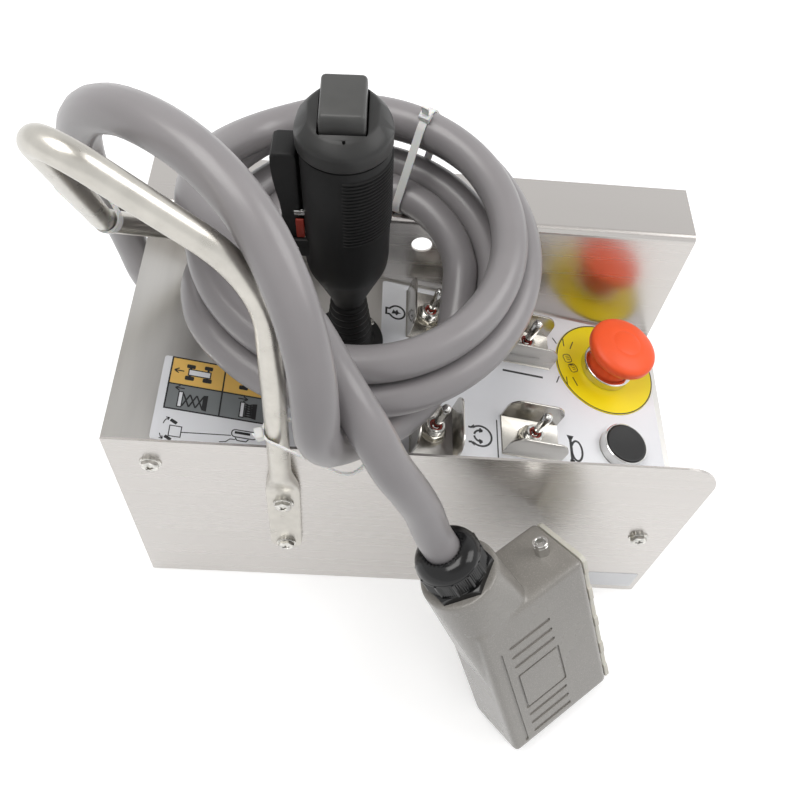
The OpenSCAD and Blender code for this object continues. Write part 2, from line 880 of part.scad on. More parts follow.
// Red neck that slides in the collar, with its stem and the spigot that carries the head
module stop_plunger()
    color("firebrick")
        on_panel(stop_place) {
            translate([0, 0, stop_neck_bottom])
                cylinder(h = stop_neck_top - stop_neck_bottom, r = stop_neck_radius);
            translate([0, 0, stop_travel + play - stop_barrel_depth])
                cylinder(h = stop_barrel_depth + over, r = stop_stem_radius);
            cylinder(h = stop_neck_top + stop_spigot.y, r = stop_spigot.x);
        }

// Mushroom head: a rounded rim under a shallow crown, hollow round the spigot
module stop_head()
    color("red")
        on_panel(stop_place)
            translate([0, 0, stop_neck_top + 0.2])
                difference() {
                    intersection() {
                        rounded_disc(stop_head_diameter / 2, stop_head_height + 2, 4);
                        translate([0, 0, stop_head_height - stop_crown_radius])
                            sphere(r = stop_crown_radius);
                    }
                    translate([0, 0, -over])
                        cylinder(h = stop_spigot.y + play + over, r = stop_spigot.x + play);
                }

module horn_bezel()
    color("silver")
        on_panel(horn_place)
            difference() {
                union() {
                    rounded_disc(horn_bezel_radius, horn_bezel_height, 0.6);
                    translate([0, 0, -horn_barrel_depth])
                        cylinder(h = horn_barrel_depth + over, r = horn_barrel_radius);
                }
                translate([0, 0, 1])
                    cylinder(h = horn_bezel_height, r = horn_cap_diameter / 2 + 0.2);
                translate([0, 0, -horn_barrel_depth - over])
                    cylinder(h = horn_barrel_depth + 4, r = horn_stem_radius + play);
            }

module horn_block()
    color("dimgray")
        on_panel(horn_place) {
            translate([0, 0, -sheet])
                hexagon_nut(horn_nut.x, horn_nut.y, horn_barrel_radius);
            translate([-horn_case.x / 2, -horn_case.y / 2, -horn_barrel_depth - horn_case.z])
                cube(horn_case);
        }

// Flat black cap with a slightly dished face, and the stem that reaches the contacts
module horn_cap()
    color("black")
        on_panel(horn_place) {
            difference() {
                translate([0, 0, horn_cap_bottom])
                    rounded_disc(horn_cap_diameter / 2, horn_cap_thickness, 1);
                translate([
                    0, 0, horn_cap_bottom + horn_cap_thickness - horn_dish_depth + horn_dish_radius
                ])
                    sphere(r = horn_dish_radius);
            }
            translate([0, 0, -horn_stem_depth])
                cylinder(h = horn_stem_depth + horn_cap_bottom + 1, r = horn_stem_radius);
        }

// Children in the joystick's own frame, with Z along its axis from the panel
module on_joystick()
    translate([joystick_place.x, joystick_place.y, panel_z(joystick_place.x)])
        rotate([0, joystick_lean, 0])
            children();

// Mounting flange with four screws, and the hollow housing under the panel
module joystick_base()
    color("dimgray")
        on_panel(joystick_place) {
            difference() {
                union() {
                    rounded_disc(joystick_flange_radius, joystick_flange_height, 1);
                    translate([0, 0, -sheet])
                        cylinder(h = sheet + over, r = joystick_spigot_radius);
                    translate([-joystick_case.x / 2, -joystick_case.y / 2, -joystick_case.z])
                        cube(joystick_case - [0, 0, sheet]);
                }
                translate([0, 0, -joystick_case.z / 2])
                    cylinder(h = joystick_case.z, r = joystick_flange_bore);
            }
            for (turn = [45:90:315])
                rotate([0, 0, turn])
                    translate([joystick_screw_circle, 0, joystick_flange_height - 0.2])
                        screw_button();
        }

// Small round screw head with a hexagon socket
module screw_button()
    difference() {
        cylinder(h = screw_button_height, r = screw_button_radius);
        translate([0, 0, screw_button_height / 2])
            linear_extrude(height = screw_button_height)
                hexagon(screw_button_radius);
    }

// Outer radius of the bellows at one of its folds
function boot_outer(i) =
    boot_bottom_radius - boot_taper * i / boot_pleats + (i % 2 == 0 ? 0 : boot_fold);

// Rubber bellows between the flange and the grip, with a foot that stands on the flange
module joystick_boot()
    color("black") {
        difference() {
            boot_foot(boot_foot_radius, boot_bottom_radius, 0);
            boot_foot(joystick_flange_bore, boot_bottom_radius - boot_wall, over);
        }
        on_joystick()
            rotate_extrude()
                polygon(concat(
                    [for (i = [0:boot_pleats]) [boot_outer(i), boot_bottom + i * boot_pitch]],
                    [for (i = [boot_pleats:-1:0]) [boot_outer(i) - boot_wall, boot_bottom + i * boot_pitch]]
                ));
    }

// Skirt from a circle on the flange to the lowest fold of the bellows
module boot_foot(foot_radius, fold_radius_here, reach)
    hull() {
        on_panel(joystick_place)
            translate([0, 0, joystick_flange_height - reach])
                cylinder(h = boot_foot_height + reach, r = foot_radius);
        on_joystick()
            translate([0, 0, boot_bottom])
                cylinder(h = 0.5 + reach, r = fold_radius_here);
    }

module joystick_shaft()
    color("silver")
        on_joystick()
            translate([0, 0, joystick_pivot]) {
                sphere(r = shaft_ball);
                cylinder(h = grip_bottom + shaft_depth - joystick_pivot, r = shaft_radius);
            }

// Moulded grip: a cone from the neck into a round barrel, ribbed on its palm side, with a recess and two
// ears for the trigger
module joystick_grip()
    color("black")
        on_joystick()
            difference() {
                union() {
                    rotate_extrude()
                        polygon([
                            [0, grip_bottom],
                            [neck_radius, grip_bottom], [neck_radius + 1.5, grip_bottom + 6],
                            [grip_radius - 3, grip_shoulder - 6], [grip_radius - 0.8, grip_shoulder],
                            [grip_radius, grip_shoulder + 12], [grip_radius, grip_top - 1.2],
                            [grip_radius - 1.2, grip_top], [0, grip_top]
                        ]);
                    for (i = [0:grip_ribs - 1])
                        translate([0, 0, grip_rib_bottom + grip_rib_pitch * i])
                            rotate([0, 0, -grip_rib_angle / 2])
                                rotate_extrude(angle = grip_rib_angle)
                                    translate([grip_radius - 1, 0])
                                        square(grip_rib);
                    for (side = [-1, 1])
                        translate([
                            -grip_radius - trigger_ear_reach,
                            side * trigger_ear_centre - trigger_ear.y / 2,
                            trigger_pivot.y - trigger_ear.z / 2
                        ])
                            cube(trigger_ear);
                }
                trigger_space();
                translate([0, 0, grip_bottom - over])
                    cylinder(h = shaft_depth + 1 + over, r = shaft_radius + thread_fit);
                trigger_pin_shape(0.05);
            }

// Space behind the trigger, open to the front
module trigger_space()
    translate([-2 * grip_radius, -trigger_width / 2 - trigger_side_gap, trigger_space_bottom])
        cube([
            2 * grip_radius - trigger_recess,
            trigger_width + 2 * trigger_side_gap,
            trigger_space_top - trigger_space_bottom
        ]);

module trigger_pin_shape(extra)
    translate([trigger_pivot.x, 0, trigger_pivot.y])
        rotate([90, 0, 0])
            cylinder(h = trigger_pin_length, r = trigger_pin_radius + extra, center = true);

module trigger_pin()
    color("silver")
        on_joystick()
            trigger_pin_shape(0);

// Domed head with the square well of the thumb rocker
module joystick_head()
    color("black")
        on_joystick()
            difference() {
                intersection() {
                    union() {
                        translate([0, 0, head_bottom])
                            cylinder(h = 2.2, r = grip_radius - 0.8);
                        translate([0, 0, head_bottom + 2])
                            cylinder(h = grip_height, r = head_radius);
                    }
                    translate([0, 0, grip_height - crown_radius])
                        sphere(r = crown_radius);
                }
                translate([0, 0, rocker_pivot - rocker_bottom - rocker_room.z])
                    linear_extrude(height = grip_height)
                        square(
                            [rocker_side + 2 * rocker_room.x, rocker_side + 2 * rocker_room.y],
                            center = true
                        );
                trigger_space();
            }

// Square rocker with bevelled edges, seen from the near side
module thumb_rocker()
    color("dimgray")
        on_joystick()
            translate([0, -rocker_side / 2, rocker_pivot])
                upright_sheet(0, rocker_side)
                    polygon([
                        [-rocker_side / 2 + 1, -rocker_bottom], [rocker_side / 2 - 1, -rocker_bottom],
                        [rocker_side / 2, 3], [rocker_side / 2 - 2, rocker_top],
                        [-rocker_side / 2 + 2, rocker_top], [-rocker_side / 2, 3]
                    ]);

// Squeeze trigger on the side of the grip, seen from the near side
module enable_trigger()
    color("black")
        on_joystick()
            difference() {
                translate([-grip_radius, 0, 0])
                    upright_sheet(-trigger_width / 2, trigger_width)
                        trigger_outline();
                trigger_pin_shape(0.2);
            }

// Trigger with two finger hollows, X counted from the grip's surface
module trigger_outline()
    polygon([
        [-7, trigger_foot], [-0.5, trigger_foot], [0.5, trigger_foot + 8],
        [0.5, trigger_top - 5], [-2, trigger_top], [-7, trigger_top - 2], [-10, trigger_top - 9],
        [-10.5, trigger_top - 23], [-8.5, trigger_foot + 32], [-9.5, trigger_foot + 16]
    ]);

// Board with its terminal row and main chips
module circuit_board()
    color("seagreen")
        translate([board_place.x, board_place.y, sheet + standoff_height]) {
            translate([-board_size.x / 2, -board_size.y / 2, 0])
                cube(board_size);
            translate([-terminal_row.x / 2, board_size.y / 2 - terminal_row.y - 4, board_size.z])
                cube(terminal_row);
            for (i = [-1, 0, 1])
                translate([i * chip_pitch - chip_size.x / 2, -chip_size.y, board_size.z])
                    cube(chip_size);
        }

module board_standoffs()
    color("silver")
        for (x = [-1, 1], y = [-1, 1])
            translate([
                board_place.x + x * (board_size.x / 2 - standoff_inset.x),
                board_place.y + y * (board_size.y / 2 - standoff_inset.y),
                sheet
            ])
                linear_extrude(height = standoff_height)
                    hexagon(standoff_flats);

// Gland body along +Z: a hexagon on the wall, with the thread through the wall and the lock nut behind it
module gland_body_shape(wall) {
    linear_extrude(height = gland_hex_height)
        hexagon(gland_hex_flats);
    translate([0, 0, -wall - gland_thread_end])
        cylinder(h = wall + gland_thread_end, r = gland_thread_radius);
    translate([0, 0, -wall])
        hexagon_nut(gland_hex_flats, gland_lock_nut, gland_thread_radius);
}

// Dome nut with twelve flats, a round shoulder and the mouth that the cable enters
module gland_nut_shape()
    translate([0, 0, gland_hex_height])
        difference() {
            union() {
                linear_extrude(height = gland_dome_height - gland_crown)
                    circle(r = gland_dome_radius, $fn = 12);
                translate([0, 0, gland_dome_height - gland_crown])
                    rotate_extrude()
                        dome_section();
            }
            translate([0, 0, gland_dome_height - gland_mouth_depth])
                cylinder(h = gland_mouth_depth + over, r = cable_radius + 0.4);
        }

// Half section of the dome: a quarter round between the shoulder and the mouth
module dome_section() {
    shoulder = gland_dome_radius * cos(15);
    intersection() {
        square([shoulder, gland_crown]);
        union() {
            square([gland_mouth_radius - 2, gland_crown]);
            translate([shoulder - gland_crown, 0])
                circle(r = gland_crown);
        }
    }
}

module gland_on_far_plate()
    translate([gland_place.x, far_face, gland_place.y])
        rotate([-90, 0, 0])
            children();

module gland_body()
    color("black")
        gland_on_far_plate()
            gland_body_shape(sheet);

module gland_nut()
    color("black")
        gland_on_far_plate()
            gland_nut_shape();

// Cable from the gland up through the handle and down to the coil
module cable_lead()
    color("gray")
        swept_tube(concat([lead_start], lead_route, [lead_end]), cable_radius, [1, 0, 0]);

// The three turns of the coil as one ring, with the strand that lies inside its lowest turn
module cable_coil()
    color("darkgray")
        translate(coil_place)
            rotate([coil_tilt, 0, 0]) {
                rotate_extrude($fn = 96)
                    offset(r = cable_radius)
                        polygon(coil_turns);
                rotate([0, 0, inner_turn_from])
                    rotate_extrude(angle = inner_turn_angle, $fn = 96) {
                        translate(inner_turn)
                            circle(r = cable_radius);
                        translate([inner_turn.x, inner_turn.y - inner_web / 2])
                            square([coil_turns[2].x - inner_turn.x, inner_web]);
                    }
            }

// Cable from the coil down to the plug
module cable_tail()
    color("gray")
        swept_tube(concat(tail_route, [tail_turn_in, tail_end]), cable_radius, [0, 0, 1]);

module at_plug()
    translate(plug_place)
        rotate(plug_turn)
            children();

// Children with +Z along the plug's gland
module at_plug_gland()
    at_plug()
        translate(neck_end)
            rotate([0, 0, -neck_angle])
                rotate([0, 90, 0])
                    children();

// Die-cast hood: X along the plug, Y from its back to its open face
module plug_hood()
    color("darkgray")
        difference() {
            union() {
                at_plug()
                    linear_extrude(height = hood_thickness)
                        rounded_rectangle([hood_length, hood_height], hood_corner);
                hull() {
                    at_plug()
                        translate([hood_length * neck_root.x, 1, 1])
                            cube([
                                hood_length * neck_root.y, hood_height * neck_root.z, hood_thickness - 2
                            ]);
                    at_plug_gland()
                        translate([0, 0, -hood_wall])
                            cylinder(h = hood_wall, r = hood_neck_radius, $fn = 32);
                }
            }
            // Cavity behind the insert
            at_plug()
                translate([hood_wall, hood_cavity_bottom, hood_wall])
                    cube([hood_length - 2 * hood_wall, hood_height, hood_thickness - 2 * hood_wall]);
            at_plug()
                hood_grooves();
            at_plug_gland()
                translate([0, 0, -gland_thread_end - 4])
                    cylinder(h = 20, r = gland_thread_radius + thread_fit);
        }

// Grooves on the large face: short bars, a framed field and one long line
module hood_grooves() {
    for (x = groove_places)
        translate([x, groove_bottom, -groove])
            cube([groove, groove_length, 2 * groove]);
    translate([long_groove.x, long_groove.y, -groove])
        cube([long_groove.z, groove, 2 * groove]);
    translate([framed_field.x, groove_bottom, -groove])
        linear_extrude(height = 2 * groove)
            difference() {
                square(framed_field);
                translate([groove, groove])
                    square(framed_field - [2 * groove, 2 * groove]);
            }
}

module plug_gland_body()
    color("black")
        at_plug_gland()
            gland_body_in_hood();

// Gland body with its thread in the hood's neck
module gland_body_in_hood() {
    linear_extrude(height = gland_hex_height)
        hexagon(gland_hex_flats);
    translate([0, 0, -gland_thread_end - 3])
        cylinder(h = gland_thread_end + 3, r = gland_thread_radius);
}

module plug_gland_nut()
    color("black")
        at_plug_gland()
            gland_nut_shape();

// Contact insert with its rim plate and two rows of contact chambers
module plug_insert()
    color("ivory")
        at_plug()
            difference() {
                union() {
                    translate([
                        (hood_length - insert_size.x) / 2,
                        insert_bottom,
                        (hood_thickness - insert_size.y) / 2
                    ])
                        cube([insert_size.x, hood_height - insert_bottom + insert_reach, insert_size.y]);
                    translate([1, hood_height, 1])
                        cube([hood_length - 2, insert_rim, hood_thickness - 2]);
                }
                for (i = [0:chambers - 1], row = [-1, 1])
                    translate([
                        chamber_first + chamber_pitch * i,
                        hood_height + insert_reach + 1,
                        hood_thickness / 2 + row * chamber_row
                    ])
                        rotate([90, 0, 0])
                            cylinder(h = chamber_depth, r = chamber_radius, $fn = 24);
            }

// Locking peg on each end of the hood
module plug_pegs()
    color("silver")
        at_plug()
            for (x = [-peg_length, hood_length])
                translate([x, peg_height, hood_thickness / 2])
                    rotate([0, 90, 0])
                        difference() {
                            cylinder(h = peg_length, r = peg_radius);
                            translate([0, 0, x < 0 ? -over : peg_length - peg_hole_depth])
                                cylinder(h = peg_hole_depth + over, r = peg_radius - peg_wall);
                        }

enclosure_tub();
control_panel();
near_side_plate();
far_side_plate();
handle_bar();
handle_screws();
panel_screws();
left_decal();
right_decal();
near_plate_sticker();
guard_left_near();
guard_left_far();
guard_right_near();
guard_right_far();
switch_left_near();
switch_left_far();
switch_right_near();
switch_right_far();
toggle_nuts();
lever_left_near();
lever_left_far();
lever_right_near();
lever_right_far();
stop_disc();
stop_collar();
stop_block();
stop_plunger();
stop_head();
horn_bezel();
horn_block();
horn_cap();
joystick_base();
joystick_boot();
joystick_shaft();
joystick_grip();
joystick_head();
thumb_rocker();
enable_trigger();
trigger_pin();
circuit_board();
board_standoffs();
gland_body();
gland_nut();
cable_lead();
cable_coil();
cable_tail();
plug_hood();
plug_gland_body();
plug_gland_nut();
plug_insert();
plug_pegs();
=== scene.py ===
"""Looks of a scissor lift control box: stainless housing, joystick, guarded switches, emergency
stop, coiled cable and plug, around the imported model."""

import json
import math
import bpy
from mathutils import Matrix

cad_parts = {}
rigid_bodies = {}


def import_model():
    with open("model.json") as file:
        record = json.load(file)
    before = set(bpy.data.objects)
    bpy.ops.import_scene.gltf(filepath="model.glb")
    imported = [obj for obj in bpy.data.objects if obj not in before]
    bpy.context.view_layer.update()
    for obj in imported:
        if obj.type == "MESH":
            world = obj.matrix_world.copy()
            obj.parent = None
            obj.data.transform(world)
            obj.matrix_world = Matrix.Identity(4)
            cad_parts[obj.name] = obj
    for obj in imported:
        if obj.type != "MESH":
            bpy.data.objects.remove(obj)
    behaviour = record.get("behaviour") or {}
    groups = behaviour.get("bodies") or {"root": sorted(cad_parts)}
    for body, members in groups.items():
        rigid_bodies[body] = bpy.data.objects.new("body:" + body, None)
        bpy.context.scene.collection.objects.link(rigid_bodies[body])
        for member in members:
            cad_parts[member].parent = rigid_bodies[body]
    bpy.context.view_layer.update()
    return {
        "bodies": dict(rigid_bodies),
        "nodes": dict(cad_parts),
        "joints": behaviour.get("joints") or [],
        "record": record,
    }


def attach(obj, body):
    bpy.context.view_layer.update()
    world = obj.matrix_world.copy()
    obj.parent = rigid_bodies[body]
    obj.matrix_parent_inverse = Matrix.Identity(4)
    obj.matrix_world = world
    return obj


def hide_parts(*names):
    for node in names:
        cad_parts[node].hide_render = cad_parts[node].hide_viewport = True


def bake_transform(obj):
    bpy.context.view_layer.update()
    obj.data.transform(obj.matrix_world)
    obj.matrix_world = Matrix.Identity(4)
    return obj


bl_info = {
    "name": "Lift Control Box",
    "version": (1, 0, 0),
    "blender": (4, 5, 0),
    "location": "View3D > Sidebar > Control Box",
    "description": "Dresses the packed control box with its finishes, controls, cable and plug",
    "category": "Object",
}

import bmesh
import bpy
from mathutils import Euler, Matrix, Vector

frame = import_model()

MM = 0.001

# Sizes that the model's source also uses, in millimetres

BOX_LENGTH, BOX_DEPTH = 340.0, 153.0
PANEL_HIGH, PANEL_LOW = 178.0, 102.0
SLOPE = (PANEL_HIGH - PANEL_LOW) / BOX_LENGTH
PANEL_ANGLE = math.atan(SLOPE)
SHEET = 1.5
FILM = 0.4
GUARD_SHEET = 1.2
LEVER_PIVOT = 5.5
JOYSTICK_LEAN = math.radians(-2.6)
FAR_FACE = BOX_DEPTH / 2

PLACES = {
    "left_near": (10.6, -36.5), "left_far": (7.5, 50.0), "right_near": (73.6, -29.5),
    "right_far": (72.7, 41.0), "stop": (131.8, 36.7), "horn": (136.0, -25.0),
    "joystick": (-42.0, 22.0),
}
TOGGLES = ("left_near", "left_far", "right_near", "right_far")

GLAND_PLACE = (-100.0, FAR_FACE, 42.0)
GLAND_HEX_FLATS, GLAND_HEX_HEIGHT, GLAND_SEAT = 36.0, 9.0, 26.0
PLUG_PLACE, PLUG_TURN = (76.4, -194.9, 19.3), (168.0, -63.5, 138.0)
HOOD, HOOD_WALL = (120.0, 76.0, 43.0), 3.0
NECK_END, NECK_ANGLE = (145.0, 11.0, 21.5), 10.0

CABLE_RADIUS, CABLE_STEPS = 10.0, 5
COIL_PLACE, COIL_TILT = (-40.0, 28.0, 221.0), 8.0
LEAD_ROUTE = [
    (-100, 118, 42), (-107, 134, 43), (-123, 145, 45), (-142, 147, 50), (-160, 139, 58),
    (-173, 124, 70), (-180, 106, 88), (-182, 90, 110), (-182, 79, 136), (-182, 72, 165),
    (-183, 66, 192), (-184, 56, 218), (-182, 42, 249), (-176, 24, 284), (-166, 4, 316),
    (-150, -14, 341), (-128, -32, 354), (-103, -51, 355), (-81, -71, 346), (-65, -92, 328),
    (-56, -109, 306), (-53, -118, 284), (-52, -119, 265), (-48, -112, 246), (-42, -100, 227),
    (-35, -86, 208), (-25, -71, 190), (-13, -56, 178), (0, -40, 174), (11, -23, 180), (17, -5, 190),
]
TAIL_ROUTE = [
    (-97, 86, 252), (-116, 58, 260), (-122, 28, 269), (-119, 0, 276), (-107, -22, 281),
    (-90, -37, 282), (-73, -54, 281), (-58, -75, 280), (-43, -98, 273), (-29, -112, 258),
    (-19, -118, 239), (-9, -119, 219), (-1, -119, 200),
]
# Each pass of the coil: radius and height of the turn it starts on and of the turn it ends on, and
# the angles between which it changes over
INNER_TURN, LOW_TURN, MIDDLE_TURN, TOP_TURN = (60, -16.2), (80, -16), (93.5, 4), (82, 21)
COIL_PASSES = [(INNER_TURN, LOW_TURN, 190, 245), (LOW_TURN, MIDDLE_TURN, 165, 220),
               (MIDDLE_TURN, TOP_TURN, 140, 195)]
COIL_FROM, COIL_TO, COIL_STEP = -2, 1192, 12


# Frames and outlines

def panel_z(x):
    """Height of the sloping panel at a place along the box."""
    return PANEL_LOW + SLOPE * (BOX_LENGTH / 2 - x)


def on_panel(x, y):
    """Frame on the sloping panel, with Z square to it."""
    return Matrix.Translation((x, y, panel_z(x))) @ Matrix.Rotation(PANEL_ANGLE, 4, "Y")


def on_joystick():
    """Frame of the joystick, with Z along its axis."""
    x, y = PLACES["joystick"]
    return Matrix.Translation((x, y, panel_z(x))) @ Matrix.Rotation(JOYSTICK_LEAN, 4, "Y")


def at_plug():
    """Frame of the plug's hood: X along it, Y from its back to its open face."""
    turn = Euler([math.radians(a) for a in PLUG_TURN], "XYZ").to_matrix().to_4x4()
    return Matrix.Translation(PLUG_PLACE) @ turn


def at_plug_gland():
    """Frame of the gland in the plug's neck, with Z out along the cable."""
    turn = (Matrix.Rotation(-math.radians(NECK_ANGLE), 4, "Z")
            @ Matrix.Rotation(math.radians(90), 4, "Y"))
    return at_plug() @ Matrix.Translation(NECK_END) @ turn


def at_box_gland():
    """Frame of the gland on the box's back, with Z out along the cable."""
    return Matrix.Translation(GLAND_PLACE) @ Matrix.Rotation(math.radians(-90), 4, "X")


def arc(x, y, radius, start, end, steps=6, stretch=1.0):
    """Points of an arc, with its angles in degrees, drawn taller or flatter by a factor."""
    turns = [math.radians(start + (end - start) * k / steps) for k in range(steps + 1)]
    return [(x + radius * math.cos(turn), y + stretch * radius * math.sin(turn)) for turn in turns]


def smooth_points(points, steps):
    """Points of one smooth curve through the given ones, a number of steps apart."""
    found = []
    for i, (b, c) in enumerate(zip(points, points[1:])):
        a = points[i - 1] if i else 2 * b - c
        d = points[i + 2] if i + 2 < len(points) else 2 * c - b
        for k in range(steps):
            t = k / steps
            found.append(0.5 * (2 * b + (c - a) * t + (2 * a - 5 * b + 4 * c - d) * t * t
                                + (3 * b - a - 3 * c + d) * t ** 3))
    return found + [points[-1]]


def lathe(profile, segments=72, ring=False):
    """Solid of revolution about Z from (radius, height) points. A ring's profile is closed."""
    bm = bmesh.new()
    rows = []
    for radius, height in profile:
        if radius < 1e-6:
            rows.append([bm.verts.new((0, 0, height))])
        else:
            rows.append([
                bm.verts.new((radius * math.cos(math.tau * k / segments),
                              radius * math.sin(math.tau * k / segments), height))
                for k in range(segments)
            ])
    for low, high in zip(rows, rows[1:] + rows[:1] if ring else rows[1:]):
        if len(low) == len(high) == 1:
            continue
        for k in range(segments):
            corners = [low[k % len(low)], low[(k + 1) % len(low)], high[(k + 1) % len(high)],
                       high[k % len(high)]]
            bm.faces.new(list(dict.fromkeys(corners)))
    if not ring:
        for row in (rows[0], rows[-1]):
            if len(row) > 1:
                bm.faces.new(row)
    bmesh.ops.recalc_face_normals(bm, faces=bm.faces)
    return bm


def prism(outline, low, high):
    """Solid between two heights with a flat outline of (x, y) points."""
    bm = bmesh.new()
    bottom = [bm.verts.new((x, y, low)) for x, y in outline]
    top = [bm.verts.new((x, y, high)) for x, y in outline]
    bm.faces.new(bottom)
    bm.faces.new(top)
    for k in range(len(outline)):
        n = (k + 1) % len(outline)
        bm.faces.new([bottom[k], bottom[n], top[n], top[k]])
    bmesh.ops.recalc_face_normals(bm, faces=bm.faces)
    return bm


def block(size, centre):
    """Box of a size about a centre."""
    bm = bmesh.new()
    bmesh.ops.create_cube(bm, size=1.0)
    bmesh.ops.scale(bm, vec=size, verts=bm.verts)
    bmesh.ops.translate(bm, vec=centre, verts=bm.verts)
    return bm


def rounded_outline(width, height, radius, steps=5):
    """Corner points of a rectangle about the origin, with round corners."""
    points = []
    for cx, cy, start in ((1, 1, 0), (-1, 1, 90), (-1, -1, 180), (1, -1, 270)):
        points += arc(cx * (width / 2 - radius), cy * (height / 2 - radius), radius, start,
                      start + 90, steps)
    return points


def bevel_sharp(bm, width, angle=30.0, steps=2):
    """Rounds every edge that is sharper than the angle."""
    limit = math.radians(angle)
    edges = [e for e in bm.edges if len(e.link_faces) == 2 and e.calc_face_angle(0) > limit]
    bmesh.ops.bevel(bm, geom=edges, offset=width, segments=steps, profile=0.5, affect="EDGES",
                    clamp_overlap=True)
    return bm


def join_into(bm, other):
    """Adds another mesh under construction to this one."""
    mesh = bpy.data.meshes.new("part")
    other.to_mesh(mesh)
    other.free()
    bm.from_mesh(mesh)
    bpy.data.meshes.remove(mesh)
    return bm


def loft(rings, closed=False):
    """Solid through a row of rings of equal length. A closed row comes back to its first ring."""
    bm = bmesh.new()
    rows = [[bm.verts.new(p) for p in ring] for ring in rings]
    for low, high in zip(rows, rows[1:] + rows[:1] if closed else rows[1:]):
        for k in range(len(low)):
            n = (k + 1) % len(low)
            bm.faces.new([low[k], low[n], high[n], high[k]])
    if not closed:
        bm.faces.new(rows[0])
        bm.faces.new(rows[-1])
    bmesh.ops.recalc_face_normals(bm, faces=bm.faces)
    return bm


def hexagon_points(flats):
    """Corners of a hexagon from its width across flats."""
    corner = flats / 2 / math.cos(math.pi / 6)
    return [(corner * math.cos(math.radians(60 * k)), corner * math.sin(math.radians(60 * k)))
            for k in range(6)]


def hexagon(flats, height, low=0.0, chamfer=0.8, bore=0.0):
    """Hexagonal nut or head in metres, with its corners chamfered at the top and bottom."""
    body = to_mesh(prism(hexagon_points(flats), low, low + height), "hexagon")
    reach = flats / 2 / math.cos(math.pi / 6) + 0.1
    drop = chamfer * 0.6
    profile = [(0, low - 0.01), (reach - chamfer, low - 0.01), (reach, low + drop),
               (reach, low + height - drop), (reach - chamfer, low + height + 0.01),
               (0, low + height + 0.01)]
    body = combined(body, to_mesh(lathe(profile, 48), "chamfer"), "INTERSECT")
    if bore:
        hole = to_mesh(lathe([(0, low - 1), (bore, low - 1), (bore, low + height + 1),
                              (0, low + height + 1)], 48), "bore")
        body = combined(body, hole)
    return body


def stroke(bm, points, width, low, high, closed=False):
    """Adds a line through flat (x, y) points to a mesh under construction, as a thin strip."""
    count = len(points)
    pts = [Vector(p) for p in points]
    rings = []
    for k, point in enumerate(pts):
        before = pts[k - 1] if k or closed else None
        after = pts[(k + 1) % count] if k + 1 < count or closed else None
        normals = []
        for a, b in ((before, point), (point, after)):
            if a is not None and b is not None and (b - a).length > 1e-6:
                way = (b - a).normalized()
                normals.append(Vector((-way.y, way.x)))
        side = sum(normals, Vector((0, 0))).normalized()
        reach = width / 2 / max(0.35, side.dot(normals[0]))
        left, right = point + side * reach, point - side * reach
        rings.append([(*right, low), (*left, low), (*left, high), (*right, high)])
    return join_into(bm, loft(rings, closed))


def bent_path(points, bends):
    """Centreline of a bent bar from its vertices and radii: points, and whether they bend."""
    path = [(Vector(points[0]), False)]
    for i, radius in enumerate(bends, 1):
        back, vertex, ahead = (Vector(p) for p in points[i - 1:i + 2])
        u, w = (back - vertex).normalized(), (ahead - vertex).normalized()
        half = u.angle(w) / 2
        centre = vertex + (u + w).normalized() * radius / math.sin(half)
        start, end = vertex + u * radius / math.tan(half), vertex + w * radius / math.tan(half)
        sweep = math.pi - 2 * half
        axis = (start - centre).cross(end - centre).normalized()
        steps = max(6, round(sweep / math.radians(4)))
        path += [(centre + Matrix.Rotation(sweep * k / steps, 3, axis) @ (start - centre), k > 0)
                 for k in range(steps + 1)]
    return path + [(Vector(points[-1]), False)]


def soft_rectangle(width, height, power):
    """Ring between an ellipse, at power 2, and a rectangle with round corners, at higher powers."""
    ring, steps = [], 40
    for k in range(steps):
        c, s = math.cos(math.tau * k / steps), math.sin(math.tau * k / steps)
        ring.append((width / 2 * math.copysign(abs(c) ** (2 / power), c),
                     height / 2 * math.copysign(abs(s) ** (2 / power), s)))
    return ring


def hull_outline(points):
    """Convex outline of flat points, anticlockwise."""
    pts = sorted(set(points))
    chains = []
    for row in (pts, pts[::-1]):
        chain = []
        for p in row:
            while len(chain) > 1 and ((chain[-1][0] - chain[-2][0]) * (p[1] - chain[-2][1])
                                      - (chain[-1][1] - chain[-2][1]) * (p[0] - chain[-2][0])) <= 0:
                chain.pop()
            chain.append(p)
        chains += chain[:-1]
    return chains


def to_mesh(bm, name, place=None, smooth=35.0):
    """Mesh in metres from one under construction in millimetres."""
    if place is not None:
        bm.transform(place)
    bm.transform(Matrix.Scale(MM, 4))
    mesh = bpy.data.meshes.new(name)
    bm.to_mesh(mesh)
    bm.free()
    mesh.shade_smooth()
    mesh.set_sharp_from_angle(angle=math.radians(smooth))
    return mesh


def add_piece(name, mesh, body, material, replaces=()):
    """Object for a finished mesh, riding on a body, or on none when no body is given."""
    mesh.materials.clear()
    mesh.materials.append(material)
    piece = bpy.data.objects.new(name, mesh)
    bpy.context.scene.collection.objects.link(piece)
    if body:
        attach(piece, body)
    if replaces:
        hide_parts(*replaces)
    return piece


def dress(node, material):
    """A better material on a model node that keeps its shape."""
    data = frame["nodes"][node].data
    data.materials.clear()
    data.materials.append(material)


def evaluated_mesh(piece, name):
    """Plain mesh of an object with its modifiers, which is then removed."""
    graph = bpy.context.evaluated_depsgraph_get()
    graph.update()
    mesh = bpy.data.meshes.new_from_object(piece.evaluated_get(graph))
    mesh.name = name
    old = piece.data
    bpy.data.objects.remove(piece)
    if old.users == 0:
        bpy.data.meshes.remove(old)
    return mesh


